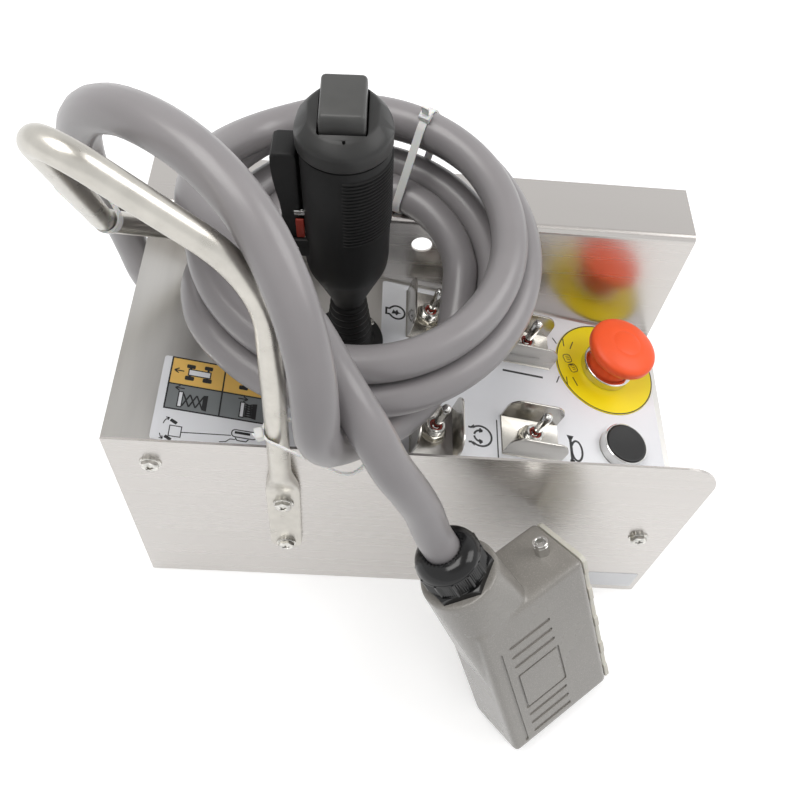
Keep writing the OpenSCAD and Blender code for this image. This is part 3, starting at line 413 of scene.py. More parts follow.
def combined(mesh, other, operation="DIFFERENCE"):
    """The mesh with another's volume taken away, added or kept in common. Both are in metres."""
    name = mesh.name
    body = bpy.data.objects.new("first solid", mesh)
    tool = bpy.data.objects.new("second solid", other)
    for one in (body, tool):
        bpy.context.scene.collection.objects.link(one)
    cut = body.modifiers.new("solid", "BOOLEAN")
    cut.operation, cut.solver, cut.object = operation, "EXACT", tool
    result = evaluated_mesh(body, name)
    bpy.data.objects.remove(tool)
    bpy.data.meshes.remove(other)
    result.shade_smooth()
    result.set_sharp_from_angle(angle=math.radians(35))
    return result


def joined(name, meshes, smooth=35.0):
    """One mesh of several, all in metres."""
    bm = bmesh.new()
    for mesh in meshes:
        bm.from_mesh(mesh)
        bpy.data.meshes.remove(mesh)
    result = bpy.data.meshes.new(name)
    bm.to_mesh(result)
    bm.free()
    result.shade_smooth()
    result.set_sharp_from_angle(angle=math.radians(smooth))
    return result


def thread_profile(start, end, pitch, crest, root, heights):
    """Half section of a thread. Its heights are the crest's end and the root's two ends."""
    profile, z = [], start
    while z < end:
        profile += [(crest, z), (crest, z + heights[0]), (root, z + heights[1]),
                    (root, z + heights[2])]
        z += pitch
    return profile


def refined_copy(node, bevel):
    """Merged copy of a model node's mesh, its sharp edges rounded by a number of millimetres."""
    bm = bmesh.new()
    bm.from_mesh(frame["nodes"][node].data)
    bmesh.ops.remove_doubles(bm, verts=bm.verts, dist=2e-6)
    bmesh.ops.dissolve_degenerate(bm, dist=1e-6, edges=bm.edges)
    bevel_sharp(bm, bevel * MM, 40)
    mesh = bpy.data.meshes.new(node + "_refined")
    bm.to_mesh(mesh)
    bm.free()
    mesh.shade_smooth()
    mesh.set_sharp_from_angle(angle=math.radians(30))
    return mesh


# Geometry Nodes trees for what repeats

def new_tree(name, inputs):
    """Node tree with named inputs, and its group input and output nodes."""
    tree = bpy.data.node_groups.new(name, "GeometryNodeTree")
    tree.interface.new_socket("Geometry", in_out="INPUT", socket_type="NodeSocketGeometry")
    for label, kind in inputs:
        tree.interface.new_socket(label, in_out="INPUT", socket_type="NodeSocket" + kind)
    tree.interface.new_socket("Geometry", in_out="OUTPUT", socket_type="NodeSocketGeometry")
    return tree, tree.nodes.new("NodeGroupInput"), tree.nodes.new("NodeGroupOutput")


def finish_tree(tree, group_in, group_out, instances):
    """Realizes the instances and gives them their material."""
    real = tree.nodes.new("GeometryNodeRealizeInstances")
    coated = tree.nodes.new("GeometryNodeSetMaterial")
    tree.links.new(instances, real.inputs["Geometry"])
    tree.links.new(real.outputs["Geometry"], coated.inputs["Geometry"])
    tree.links.new(group_in.outputs["Finish"], coated.inputs["Material"])
    tree.links.new(coated.outputs["Geometry"], group_out.inputs["Geometry"])
    return tree


def copies_tree():
    """A copy of one piece on each point, turned by the point's own turn."""
    tree, group_in, group_out = new_tree("copies_on_points", [("Piece", "Object"),
                                                              ("Finish", "Material")])
    turn = tree.nodes.new("GeometryNodeInputNamedAttribute")
    turn.data_type = "FLOAT_VECTOR"
    turn.inputs["Name"].default_value = "turn"
    to_turn = tree.nodes.new("FunctionNodeEulerToRotation")
    info = tree.nodes.new("GeometryNodeObjectInfo")
    put = tree.nodes.new("GeometryNodeInstanceOnPoints")
    tree.links.new(turn.outputs["Attribute"], to_turn.inputs[0])
    tree.links.new(group_in.outputs["Piece"], info.inputs["Object"])
    tree.links.new(group_in.outputs["Geometry"], put.inputs["Points"])
    tree.links.new(info.outputs["Geometry"], put.inputs["Instance"])
    tree.links.new(to_turn.outputs[0], put.inputs["Rotation"])
    return finish_tree(tree, group_in, group_out, put.outputs["Instances"])


def row_tree():
    """A number of copies of one piece in a straight row."""
    tree, group_in, group_out = new_tree("row_of_pieces", [("Piece", "Object"), ("Count", "Int"),
                                                           ("Step", "Vector"),
                                                           ("Finish", "Material")])
    line = tree.nodes.new("GeometryNodeMeshLine")
    info = tree.nodes.new("GeometryNodeObjectInfo")
    put = tree.nodes.new("GeometryNodeInstanceOnPoints")
    tree.links.new(group_in.outputs["Count"], line.inputs["Count"])
    tree.links.new(group_in.outputs["Step"], line.inputs["Offset"])
    tree.links.new(group_in.outputs["Piece"], info.inputs["Object"])
    tree.links.new(line.outputs["Mesh"], put.inputs["Points"])
    tree.links.new(info.outputs["Geometry"], put.inputs["Instance"])
    return finish_tree(tree, group_in, group_out, put.outputs["Instances"])


def circle_tree():
    """A number of copies of one piece round the Z axis, each turned with its place."""
    tree, group_in, group_out = new_tree("circle_of_pieces", [("Piece", "Object"), ("Count", "Int"),
                                                              ("Radius", "Float"),
                                                              ("Finish", "Material")])
    circle = tree.nodes.new("GeometryNodeMeshCircle")
    info = tree.nodes.new("GeometryNodeObjectInfo")
    put = tree.nodes.new("GeometryNodeInstanceOnPoints")
    index = tree.nodes.new("GeometryNodeInputIndex")
    share = tree.nodes.new("ShaderNodeMath")
    share.operation = "DIVIDE"
    angle = tree.nodes.new("ShaderNodeMath")
    angle.operation = "MULTIPLY"
    angle.inputs[1].default_value = math.tau
    vector = tree.nodes.new("ShaderNodeCombineXYZ")
    to_turn = tree.nodes.new("FunctionNodeEulerToRotation")
    tree.links.new(group_in.outputs["Count"], circle.inputs["Vertices"])
    tree.links.new(group_in.outputs["Radius"], circle.inputs["Radius"])
    tree.links.new(index.outputs[0], share.inputs[0])
    tree.links.new(group_in.outputs["Count"], share.inputs[1])
    tree.links.new(share.outputs[0], angle.inputs[0])
    tree.links.new(angle.outputs[0], vector.inputs["Z"])
    tree.links.new(vector.outputs[0], to_turn.inputs[0])
    tree.links.new(group_in.outputs["Piece"], info.inputs["Object"])
    tree.links.new(circle.outputs["Mesh"], put.inputs["Points"])
    tree.links.new(info.outputs["Geometry"], put.inputs["Instance"])
    tree.links.new(to_turn.outputs[0], put.inputs["Rotation"])
    return finish_tree(tree, group_in, group_out, put.outputs["Instances"])


TREES = {}


def repeated(name, kind, template, values, material, points=(), turns=()):
    """Mesh in metres of the copies that a tree makes of a template mesh."""
    if kind not in TREES:
        TREES[kind] = {"copies": copies_tree, "row": row_tree, "circle": circle_tree}[kind]()
    tree = TREES[kind]
    model = bpy.data.objects.new("template", template)
    bpy.context.scene.collection.objects.link(model)
    base = bpy.data.meshes.new(name + " points")
    base.from_pydata([Vector(p) for p in points], [], [])
    if points:
        turn = base.attributes.new("turn", "FLOAT_VECTOR", "POINT")
        for k, one in enumerate(turns):
            turn.data[k].vector = one
    carrier = bpy.data.objects.new(name + " carrier", base)
    bpy.context.scene.collection.objects.link(carrier)
    modifier = carrier.modifiers.new("repeat", "NODES")
    modifier.node_group = tree
    wanted = {"Piece": model, "Finish": material, **values}
    for item in tree.interface.items_tree:
        if item.item_type == "SOCKET" and item.in_out == "INPUT" and item.name in wanted:
            modifier[item.identifier] = wanted[item.name]
    mesh = evaluated_mesh(carrier, name)
    bpy.data.objects.remove(model)
    bpy.data.meshes.remove(template)
    return mesh


def moved(mesh, place):
    """A mesh in metres put in place by a matrix in millimetres."""
    mesh.transform(Matrix.Scale(MM, 4) @ place @ Matrix.Scale(1 / MM, 4))
    mesh.update()
    return mesh


# Materials

FINISHES = {}


def finish(name, colour, metallic=0.0, roughness=0.5, spread=0.06, grain=(60, 60, 60), fleck=0.0,
           bump=0.0, bump_scale=900.0, coat=0.0, subsurface=0.0, anisotropy=0.0, rough_spread=0.08,
           bump_grain=(1, 1, 1), specular=0.5):
    """Procedural finish on object coordinates: slow changes of shade and gloss, fine relief."""
    if name in FINISHES:
        return FINISHES[name]
    material = bpy.data.materials.new(name)
    material.use_nodes = True
    nodes, links = material.node_tree.nodes, material.node_tree.links
    shader = nodes["Principled BSDF"]
    where = nodes.new("ShaderNodeTexCoord")
    stretch = nodes.new("ShaderNodeMapping")
    stretch.inputs["Scale"].default_value = grain
    links.new(where.outputs["Object"], stretch.inputs["Vector"])
    cloud = nodes.new("ShaderNodeTexNoise")
    cloud.inputs["Scale"].default_value = 1.0
    cloud.inputs["Detail"].default_value = 4.0
    links.new(stretch.outputs["Vector"], cloud.inputs["Vector"])
    shade = nodes.new("ShaderNodeValToRGB")
    shade.color_ramp.elements[0].position, shade.color_ramp.elements[1].position = 0.3, 0.7
    shade.color_ramp.elements[0].color = [c * (1 - spread) for c in colour] + [1]
    shade.color_ramp.elements[1].color = [min(1, c * (1 + spread)) for c in colour] + [1]
    links.new(cloud.outputs["Fac"], shade.inputs["Fac"])
    base = shade.outputs["Color"]
    fine_map = nodes.new("ShaderNodeMapping")
    fine_map.inputs["Scale"].default_value = bump_grain
    links.new(where.outputs["Object"], fine_map.inputs["Vector"])
    fine = nodes.new("ShaderNodeTexNoise")
    fine.inputs["Scale"].default_value = bump_scale
    fine.inputs["Detail"].default_value = 3.0
    links.new(fine_map.outputs["Vector"], fine.inputs["Vector"])
    if fleck:
        flecks = nodes.new("ShaderNodeValToRGB")
        flecks.color_ramp.elements[0].position, flecks.color_ramp.elements[1].position = 0.52, 0.66
        flecks.color_ramp.elements[0].color = (0, 0, 0, 1)
        flecks.color_ramp.elements[1].color = (1, 1, 1, 1)
        links.new(fine.outputs["Fac"], flecks.inputs["Fac"])
        mix = nodes.new("ShaderNodeMix")
        mix.data_type = "RGBA"
        links.new(flecks.outputs["Color"], mix.inputs["Factor"])
        links.new(base, mix.inputs["A"])
        mix.inputs["B"].default_value = [min(1, c * (1 + fleck)) for c in colour] + [1]
        base = mix.outputs["Result"]
    links.new(base, shader.inputs["Base Color"])
    gloss = nodes.new("ShaderNodeMapRange")
    gloss.inputs["To Min"].default_value = max(0.02, roughness - rough_spread)
    gloss.inputs["To Max"].default_value = min(1.0, roughness + rough_spread)
    links.new(cloud.outputs["Fac"], gloss.inputs["Value"])
    links.new(gloss.outputs["Result"], shader.inputs["Roughness"])
    if bump:
        relief = nodes.new("ShaderNodeBump")
        relief.inputs["Strength"].default_value = min(1.0, bump)
        relief.inputs["Distance"].default_value = 0.0002
        links.new(fine.outputs["Fac"], relief.inputs["Height"])
        links.new(relief.outputs["Normal"], shader.inputs["Normal"])
    shader.inputs["Metallic"].default_value = metallic
    shader.inputs["Specular IOR Level"].default_value = specular
    shader.inputs["Coat Weight"].default_value = coat
    shader.inputs["Coat Roughness"].default_value = 0.15
    shader.inputs["Subsurface Weight"].default_value = subsurface
    shader.inputs["Subsurface Radius"].default_value = (0.004, 0.002, 0.001)
    shader.inputs["Anisotropic"].default_value = anisotropy
    FINISHES[name] = material
    return material


def colours():
    """The colours set in the sidebar."""
    return bpy.context.scene.lift_box_colours


def brushed_stainless():
    return finish("brushed_stainless", colours().stainless, 1.0, 0.33, 0.05, (6, 6, 420), bump=0.16,
                  bump_scale=1.0, bump_grain=(60, 900, 4200), rough_spread=0.07, anisotropy=0.3)


# Side plates: a darker colour than the housing's stainless, which paints in the shade and the
# darker reflections they show
def shade_darkened_plate_steel():
    return finish("brushed_plate", colours().plate, 1.0, 0.27, 0.02, (3, 6, 520), bump=0.025,
                  bump_scale=1.0, bump_grain=(12, 900, 5600), rough_spread=0.02, anisotropy=0.25)


def bar_steel():
    return finish("satin_bar_steel", colours().bar, 1.0, 0.29, 0.09, (90, 90, 90), bump=0.02,
                  bump_scale=1400, rough_spread=0.06)


def bright_steel():
    return finish("bright_plating", (0.66, 0.655, 0.64), 1.0, 0.09, 0.03, (90, 90, 90), bump=0.03,
                  bump_scale=600, rough_spread=0.05)


def zinc_steel():
    return finish("zinc_plating", (0.60, 0.59, 0.56), 1.0, 0.16, 0.38, (330, 330, 330), bump=0.12,
                  bump_scale=1800, rough_spread=0.1)


def sheath():
    return finish("cable_sheath", colours().cable, 0.0, 0.33, 0.05, (25, 25, 25), bump=0.10,
                  bump_scale=1500, rough_spread=0.06, coat=0.12)


def black_plastic():
    return finish("moulded_black_plastic", (0.010, 0.010, 0.0105), 0.0, 0.40, 0.15, (150, 150, 150),
                  bump=0.25, bump_scale=2200, rough_spread=0.07, specular=0.4)


def bellows_rubber():
    return finish("bellows_rubber", (0.008, 0.008, 0.008), 0.0, 0.45, 0.2, (120, 120, 120),
                  bump=0.2, bump_scale=1200, specular=0.3)


def gland_nylon():
    return finish("black_nylon", (0.006, 0.006, 0.0065), 0.0, 0.17, 0.15, (120, 120, 120),
                  bump=0.08, bump_scale=1600, specular=0.4)


def stop_red():
    return finish("signal_red_plastic", colours().red, 0.0, 0.42, 0.04, (50, 50, 50), bump=0.08,
                  bump_scale=1500, subsurface=0.05, specular=0.35)


def disc_yellow():
    return finish("signal_yellow_film", colours().yellow, 0.0, 0.35, 0.03, (40, 40, 40), bump=0.05,
                  bump_scale=900)


def white_film():
    return finish("white_film", (0.80, 0.81, 0.84), 0.0, 0.32, 0.02, (30, 30, 30), bump=0.04,
                  bump_scale=700, coat=0.2)


def black_ink():
    return finish("black_ink", (0.018, 0.018, 0.02), 0.0, 0.45, 0.1, (80, 80, 80), bump=0.04,
                  bump_scale=900)


def ochre_ink():
    return finish("ochre_ink", (0.80, 0.50, 0.13), 0.0, 0.4, 0.03, (60, 60, 60), bump=0.04,
                  bump_scale=900)


def grey_ink():
    return finish("grey_ink", (0.20, 0.215, 0.22), 0.0, 0.4, 0.04, (60, 60, 60), bump=0.04,
                  bump_scale=900)


def hood_paint():
    return finish("speckled_grey_paint", colours().hood, 0.0, 0.25, 0.04, (30, 30, 30), fleck=0.3,
                  bump=0.20, bump_scale=1700, rough_spread=0.08, coat=0.25)


def insert_ivory():
    return finish("ivory_plastic", (0.62, 0.60, 0.53), 0.0, 0.42, 0.03, (60, 60, 60), bump=0.08,
                  bump_scale=1300, subsurface=0.05)


def tie_nylon():
    return finish("natural_nylon", (0.80, 0.80, 0.78), 0.0, 0.35, 0.02, (80, 80, 80), bump=0.05,
                  bump_scale=1200, subsurface=0.3, coat=0.1)


def case_plastic():
    return finish("case_plastic", (0.03, 0.03, 0.032), 0.0, 0.5, 0.1, (120, 120, 120), bump=0.15,
                  bump_scale=1500)


def board_green():
    return finish("board_green", (0.02, 0.16, 0.06), 0.0, 0.3, 0.15, (400, 400, 400), bump=0.2,
                  bump_scale=1200, coat=0.3)


def guard_steel():
    return finish("satin_guard_steel", (0.52, 0.505, 0.475), 1.0, 0.24, 0.06, (30, 30, 260),
                  bump=0.08, bump_scale=1.0, bump_grain=(300, 300, 2600), rough_spread=0.08)


def nut_plating():
    return finish("nut_plating", (0.46, 0.44, 0.39), 1.0, 0.20, 0.10, (250, 250, 250), bump=0.08,
                  bump_scale=1600, rough_spread=0.08)


def grip_plastic():
    return finish("grip_plastic", (0.009, 0.009, 0.0092), 0.0, 0.52, 0.15, (150, 150, 150),
                  bump=0.30, bump_scale=2400, rough_spread=0.06, specular=0.28)


def head_plastic():
    return finish("head_plastic", (0.022, 0.022, 0.0215), 0.0, 0.42, 0.08, (120, 120, 120),
                  bump=0.20, bump_scale=2400, rough_spread=0.06, specular=0.4)


def rocker_plastic():
    return finish("rocker_plastic", (0.062, 0.062, 0.060), 0.0, 0.40, 0.06, (120, 120, 120),
                  bump=0.15, bump_scale=2000, rough_spread=0.06)


def seal_red():
    return finish("seal_red", (0.30, 0.028, 0.014), 0.0, 0.45, 0.06, (120, 120, 120), bump=0.05,
                  bump_scale=1200)


# Properties

class LiftBoxColours(bpy.types.PropertyGroup):
    """Colours of the finishes."""
    stainless: bpy.props.FloatVectorProperty(
        name="Stainless", description="Colour of the brushed sheet", default=(0.66, 0.65, 0.63),
        size=3, subtype="COLOR", min=0, max=1)
    # Painted shade: the side plates' colour is set darker than the stainless so that they look
    # shaded
    plate: bpy.props.FloatVectorProperty(
        name="Side Plates", description="Colour of the brushed side plates",
        default=(0.56, 0.538, 0.518), size=3, subtype="COLOR", min=0, max=1)
    bar: bpy.props.FloatVectorProperty(
        name="Handle", description="Colour of the handle bar", default=(0.56, 0.54, 0.495), size=3,
        subtype="COLOR", min=0, max=1)
    cable: bpy.props.FloatVectorProperty(
        name="Cable", description="Colour of the cable's sheath", default=(0.265, 0.25, 0.255),
        size=3, subtype="COLOR", min=0, max=1)
    hood: bpy.props.FloatVectorProperty(
        name="Hood", description="Colour of the plug's paint", default=(0.245, 0.232, 0.212),
        size=3, subtype="COLOR", min=0, max=1)
    red: bpy.props.FloatVectorProperty(
        name="Red", description="Colour of the emergency stop", default=(0.93, 0.105, 0.024),
        size=3, subtype="COLOR", min=0, max=1)
    yellow: bpy.props.FloatVectorProperty(
        name="Yellow", description="Colour of the emergency stop's disc",
        default=(0.90, 0.74, 0.005), size=3, subtype="COLOR", min=0, max=1)


class LiftBoxSizes(bpy.types.PropertyGroup):
    """Sizes of the dressed pieces."""
    tie_width: bpy.props.FloatProperty(
        name="Tie Width", description="Width of a cable tie's band", default=0.0046, min=0.002,
        max=0.008, subtype="DISTANCE", unit="LENGTH")
    ink: bpy.props.FloatProperty(
        name="Line Width", description="Width of the printed lines", default=0.0009, min=0.0003,
        max=0.002, subtype="DISTANCE", unit="LENGTH")
    rib_count: bpy.props.IntProperty(
        name="Grip Ribs", description="Number of ribs on the joystick's grip", default=20, min=4,
        max=20)


class LiftBoxStage(bpy.types.PropertyGroup):
    """Camera and light."""
    focal: bpy.props.FloatProperty(
        name="Focal Length", description="Focal length of the camera in millimetres",
        default=39.0645, min=10, max=200)
    floor: bpy.props.FloatVectorProperty(
        name="Floor", description="Colour of the floor", default=(0.93, 0.93, 0.93), size=3,
        subtype="COLOR", min=0, max=1)
    key: bpy.props.FloatProperty(
        name="Key Light", description="Power of the main light", default=12.5, min=0, max=200,
        unit="POWER")


# Camera and cable

CAMERA_PLACE = (-38.278, -306.287, 583.846)
CAMERA_RIGHT = (0.99687, 0.01753, 0.07707)
CAMERA_DOWN = (0.05672, -0.83779, -0.54303)
CAMERA_FORWARD = (0.05505, 0.54571, -0.83617)


class LIFTBOX_OT_camera(bpy.types.Operator):
    """Camera at the viewing angle"""
    bl_idname = "liftbox.camera"
    bl_label = "Camera"

    def execute(self, context):
        data = bpy.data.cameras.new("view_camera")
        data.sensor_fit, data.sensor_width = "HORIZONTAL", 36.0
        data.lens = context.scene.lift_box_stage.focal
        data.clip_start, data.clip_end = 0.01, 20.0
        camera = bpy.data.objects.new("view_camera", data)
        context.scene.collection.objects.link(camera)
        right, down, forward = (Vector(v).normalized()
                                for v in (CAMERA_RIGHT, CAMERA_DOWN, CAMERA_FORWARD))
        turn = Matrix((right, -down, -forward)).transposed().to_4x4()
        camera.matrix_world = Matrix.Translation(Vector(CAMERA_PLACE) * MM) @ turn
        context.scene.camera = camera
        return {"FINISHED"}


def coil_point(angle):
    """Point of the coil's centreline, in millimetres. The angle runs on from turn to turn."""
    lap, local = divmod(angle + 54, 360)
    local -= 54
    lap = int(lap)
    if lap < len(COIL_PASSES):
        start, end, begin, finish_at = COIL_PASSES[lap]
        share = min(1.0, max(0.0, (local - begin) / (finish_at - begin)))
        share = share * share * (3 - 2 * share)
        radius = start[0] + (end[0] - start[0]) * share
        height = start[1] + (end[1] - start[1]) * share
    else:
        radius, height = TOP_TURN
    turn = math.radians(angle)
    point = Vector((radius * math.cos(turn), radius * math.sin(turn), height))
    return Matrix.Rotation(math.radians(COIL_TILT), 3, "X") @ point + Vector(COIL_PLACE)


def cable_route():
    """Centreline of the whole cable from the box's gland to the plug's, in millimetres."""
    start = Vector((GLAND_PLACE[0], FAR_FACE + GLAND_SEAT, GLAND_PLACE[2]))
    coil = [coil_point(a) for a in range(COIL_FROM, COIL_TO, COIL_STEP)]
    gland = at_plug_gland()
    ends = [gland @ Vector((0, 0, GLAND_SEAT + 16)), gland @ Vector((0, 0, GLAND_SEAT))]
    return [start] + [Vector(p) for p in LEAD_ROUTE] + coil + [Vector(p) for p in TAIL_ROUTE] + ends


class LIFTBOX_OT_cable(bpy.types.Operator):
    """The whole cable as one tube: from the box over the handle, round the coil, to the plug"""
    bl_idname = "liftbox.cable"
    bl_label = "Cable"

    def execute(self, context):
        points = [p * MM for p in smooth_points(cable_route(), CABLE_STEPS)]
        curve = bpy.data.curves.new("cable", "CURVE")
        curve.dimensions = "3D"
        spline = curve.splines.new("POLY")
        spline.points.add(len(points) - 1)
        for point, place in zip(spline.points, points):
            point.co = (*place, 1.0)
        spline.use_smooth = True
        curve.bevel_depth, curve.bevel_resolution = CABLE_RADIUS * MM, 6
        curve.use_fill_caps = True
        curve.materials.append(sheath())
        cable = bpy.data.objects.new("cable", curve)
        context.scene.collection.objects.link(cable)
        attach(cable, "housing")
        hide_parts("cable_lead", "cable_coil", "cable_tail")
        return {"FINISHED"}


# Handle and screws

HANDLE_POINTS = [
    (-75, -82.8, 168), (-75, -82.8, 322), (-150, -82.8, 391), (-171, 12, 249), (-128, 68.7, 184),
    (-112, 68.7, 184),
]
HANDLE_BENDS = [75, 16, 40, 12]
BAR_RADIUS = 6.0
TAB_WIDTH, TAB_THICKNESS, TAB_SHIFT = 19.6, 3.5, 4.55
NEAR_TAB_LENGTH, FAR_TAB_LENGTH = 79.0, 40.0
HANDLE_SCREWS = [(-75, -80, 119.5), (-75, -80, 64), (-92, 71.5, 184), (-72, 71.5, 184)]
PANEL_SCREW_X, PANEL_SCREW_DROP = 147.0, 18.0


def tab_sections(length, taper):
    """Sections of a flattened end, from its round tip to the bar: distance back from the bar, shift
    towards the plate, width, thickness and how square the section is."""
    rows = []
    half = TAB_WIDTH / 2
    for k in range(1, 10):
        turn = math.radians(10 * k)
        rows.append((length - half + half * math.cos(turn), TAB_SHIFT, TAB_WIDTH * math.sin(turn),
                     TAB_THICKNESS, 9.0))
    rows.append((1.0, TAB_SHIFT, TAB_WIDTH, TAB_THICKNESS, 9.0))
    for k in range(1, 12):
        t = k / 12
        share = t * t * (3 - 2 * t)
        rows.append((1.0 - taper * t, TAB_SHIFT * (1 - share),
                     TAB_WIDTH + (2 * BAR_RADIUS - TAB_WIDTH) * share,
                     TAB_THICKNESS + (2 * BAR_RADIUS - TAB_THICKNESS) * share,
                     9.0 - 7.0 * share ** 0.35))
    return rows


def bent_handle():
    """The handle's bar with its two flattened ends as one skin."""
    path = bent_path(HANDLE_POINTS, HANDLE_BENDS)
    places = [p for p, _ in path]
    ways = [(places[min(k + 1, len(places) - 1)] - places[max(k - 1, 0)]).normalized()
            for k in range(len(places))]
    ways[0], ways[-1] = Vector((0, 0, 1)), Vector((1, 0, 0))
    widths = [Vector((1, 0, 0))]
    for k in range(1, len(places)):
        turn = ways[k - 1].rotation_difference(ways[k])
        side = turn @ widths[-1]
        widths.append((side - ways[k] * side.dot(ways[k])).normalized())
    # The ring turns in the bends until its width stands upright at the far end
    wanted = [Vector((0, 0, 1)), Vector((0, 0, -1))]
    offsets = [math.atan2(widths[-1].cross(w).dot(ways[-1]), widths[-1].dot(w)) for w in wanted]
    best = min((0, 1), key=lambda i: abs(offsets[i]))
    bends = sum(1 for _, bend in path if bend)
    done, rings = 0, []
    for (place, bend), way, width in zip(path, ways, widths):
        done += bend
        width = Matrix.Rotation(offsets[best] * done / bends, 3, way) @ width
        side = way.cross(width)
        rings.append([place + width * x + side * y
                      for x, y in soft_rectangle(2 * BAR_RADIUS, 2 * BAR_RADIUS, 2)])
    near, far = [], []
    for back, shift, width, thick, power in tab_sections(NEAR_TAB_LENGTH, 35):
        near.append([Vector((-75 + x, HANDLE_POINTS[0][1] + shift + y, 133 - back))
                     for x, y in soft_rectangle(width, thick, power)])
    stand = wanted[best]
    across = Vector((1, 0, 0)).cross(stand)
    for back, shift, width, thick, power in tab_sections(FAR_TAB_LENGTH, 11):
        far.append([Vector((-102 + back, HANDLE_POINTS[-1][1] + shift, 184)) + stand * x
                    + across * y for x, y in soft_rectangle(width, thick, power)])
    return to_mesh(loft(near + rings + far[::-1]), "bent_handle", smooth=40.0)


def cross_screw(stack, thread):
    """Screw in metres, head up: toothed washer, hexagon head with a cross recess, shank, nut."""
    teeth = 24
    washer = [(r * math.cos(math.tau * k / (2 * teeth)), r * math.sin(math.tau * k / (2 * teeth)))
              for k, r in enumerate((6.2, 5.95) * teeth)]
    ring = to_mesh(lathe([(0, -0.05), (5.3, -0.05), (5.3, 1.0), (5.0, 1.25), (0, 1.25)], 40),
                   "washer")
    head = to_mesh(prism(hexagon_points(9.0), 1.1, 4.1), "head")
    dome = [(0, 0.9), (5.35, 0.9), (5.35, 2.7), (4.9, 3.2), (4.2, 3.6), (3.0, 3.9), (1.5, 4.05),
            (0, 4.1)]
    head = combined(head, to_mesh(lathe(dome, 48), "dome"), "INTERSECT")
    for turn in (0, 90):
        slot = block((6.0, 1.3, 2.8), (0, 0, 4.1))
        for vert in slot.verts:
            if vert.co.z < 4.1:
                vert.co.x *= 0.6
        head = combined(head, to_mesh(slot, "recess", Matrix.Rotation(math.radians(turn), 4, "Z")))
    shank = to_mesh(lathe([(0, -stack - 5.5), (thread - 0.4, -stack - 5.5), (thread, -stack - 5.1),
                           (thread, 0.5), (0, 0.5)], 24), "shank")
    nut = hexagon(9.0, 4.0, -stack - 4.0, 0.6)
    return joined("screw", [to_mesh(prism(washer, 0.0, 0.8), "teeth"), ring, head, shank, nut])


def facing(side, spin):
    """Turn of a screw whose head points along +Y or -Y, turned about itself by an angle."""
    turn = (Matrix.Rotation(math.radians(-90 * side), 3, "X")
            @ Matrix.Rotation(math.radians(spin), 3, "Z"))
    return turn.to_euler("XYZ")


class LIFTBOX_OT_housing(bpy.types.Operator):
    """Brushed stainless steel on the folded sheets and the guards round the switches"""
    bl_idname = "liftbox.housing"
    bl_label = "Housing"

    def execute(self, context):
        steel = brushed_stainless()
        for node in ("enclosure_tub", "control_panel"):
            dress(node, steel)
        # The side plates take the darker colour, which is painted shade
        for node in ("near_side_plate", "far_side_plate"):
            dress(node, shade_darkened_plate_steel())
        dress("near_plate_sticker", white_film())
        for where in TOGGLES:
            node = "guard_" + where
            add_piece("folded_" + node, refined_copy(node, 0.25), "housing",
                      guard_steel(), [node])
        return {"FINISHED"}


class LIFTBOX_OT_handle(bpy.types.Operator):
    """The bent handle with its flattened ends"""
    bl_idname = "liftbox.handle"
    bl_label = "Handle"

    def execute(self, context):
        add_piece("bent_handle", bent_handle(), "housing", bar_steel(),
                  ["handle_bar"])
        return {"FINISHED"}


class LIFTBOX_OT_screws(bpy.types.Operator):
    """Hexagon screws with cross recesses and toothed washers in the handle and the side plates"""
    bl_idname = "liftbox.screws"
    bl_label = "Screws"

    def execute(self, context):
        zinc = zinc_steel()
        places = [Vector(p) * MM for p in HANDLE_SCREWS]
        turns = [facing(-1, spin) for spin in (38, 12, 20, 55)]
        mesh = repeated("handle_screw_set", "copies", cross_screw(5.0, 2.9), {}, zinc, places,
                        turns)
        add_piece("handle_screw_set", mesh, "housing", zinc, ["handle_screws"])
        places, turns = [], []
        for x, side, spin in ((-PANEL_SCREW_X, -1, 25), (PANEL_SCREW_X, -1, 5),
                              (-PANEL_SCREW_X, 1, 40), (PANEL_SCREW_X, 1, 70)):
            places.append(Vector((x, side * FAR_FACE, panel_z(x) - PANEL_SCREW_DROP)) * MM)
            turns.append(facing(side, spin))
        mesh = repeated("panel_screw_set", "copies", cross_screw(3.0, 2.4), {}, zinc, places, turns)
        add_piece("panel_screw_set", mesh, "housing", zinc, ["panel_screws"])
        return {"FINISHED"}


# Printed films

PRINT_LOW, PRINT_HIGH = FILM - 0.05, FILM + 0.06
FIELD_HIGH, PALE_HIGH = FILM + 0.02, FILM + 0.04
FRAME_WIDTH = 0.7
# Finer lines, as shares of the printed lines' width
THIN, MEDIUM, ARROW = 0.6, 0.7, 0.8
LEFT_FRAME = {"rows": (-16.8, -34.6, -51), "columns": (-141.5, -112.2, -83), "past": 0.4}


def marks(points):
    """Points given along the box, as points along the sloping panel."""
    return [(x / math.cos(PANEL_ANGLE), y) for x, y in points]


def box_corners(left, far, right, near):
    """Corners of an upright rectangle on a film."""
    return [(left, far), (right, far), (right, near), (left, near)]


def print_line(bm, points, width, closed=False, lift=0.0):
    """Line printed on a film through points given along the box."""
    stroke(bm, marks(points), width, PRINT_LOW, PRINT_HIGH + lift, closed)


def print_field(bm, corners, high=PRINT_HIGH):
    """Filled field printed on a film."""
    join_into(bm, prism(marks(corners), PRINT_LOW, high))


def print_arrow(bm, tail, tip, width, head=2.2):
    """Printed arrow with an open head."""
    print_line(bm, [tail, tip], width)
    way = (Vector(tip) - Vector(tail)).normalized()
    side = Vector((-way.y, way.x))
    for sign in (1, -1):
        barb = Vector(tip) - way * head + side * sign * head * 0.75
        print_line(bm, [tuple(barb), tuple(Vector(tip) + way * width * 0.3)], width)


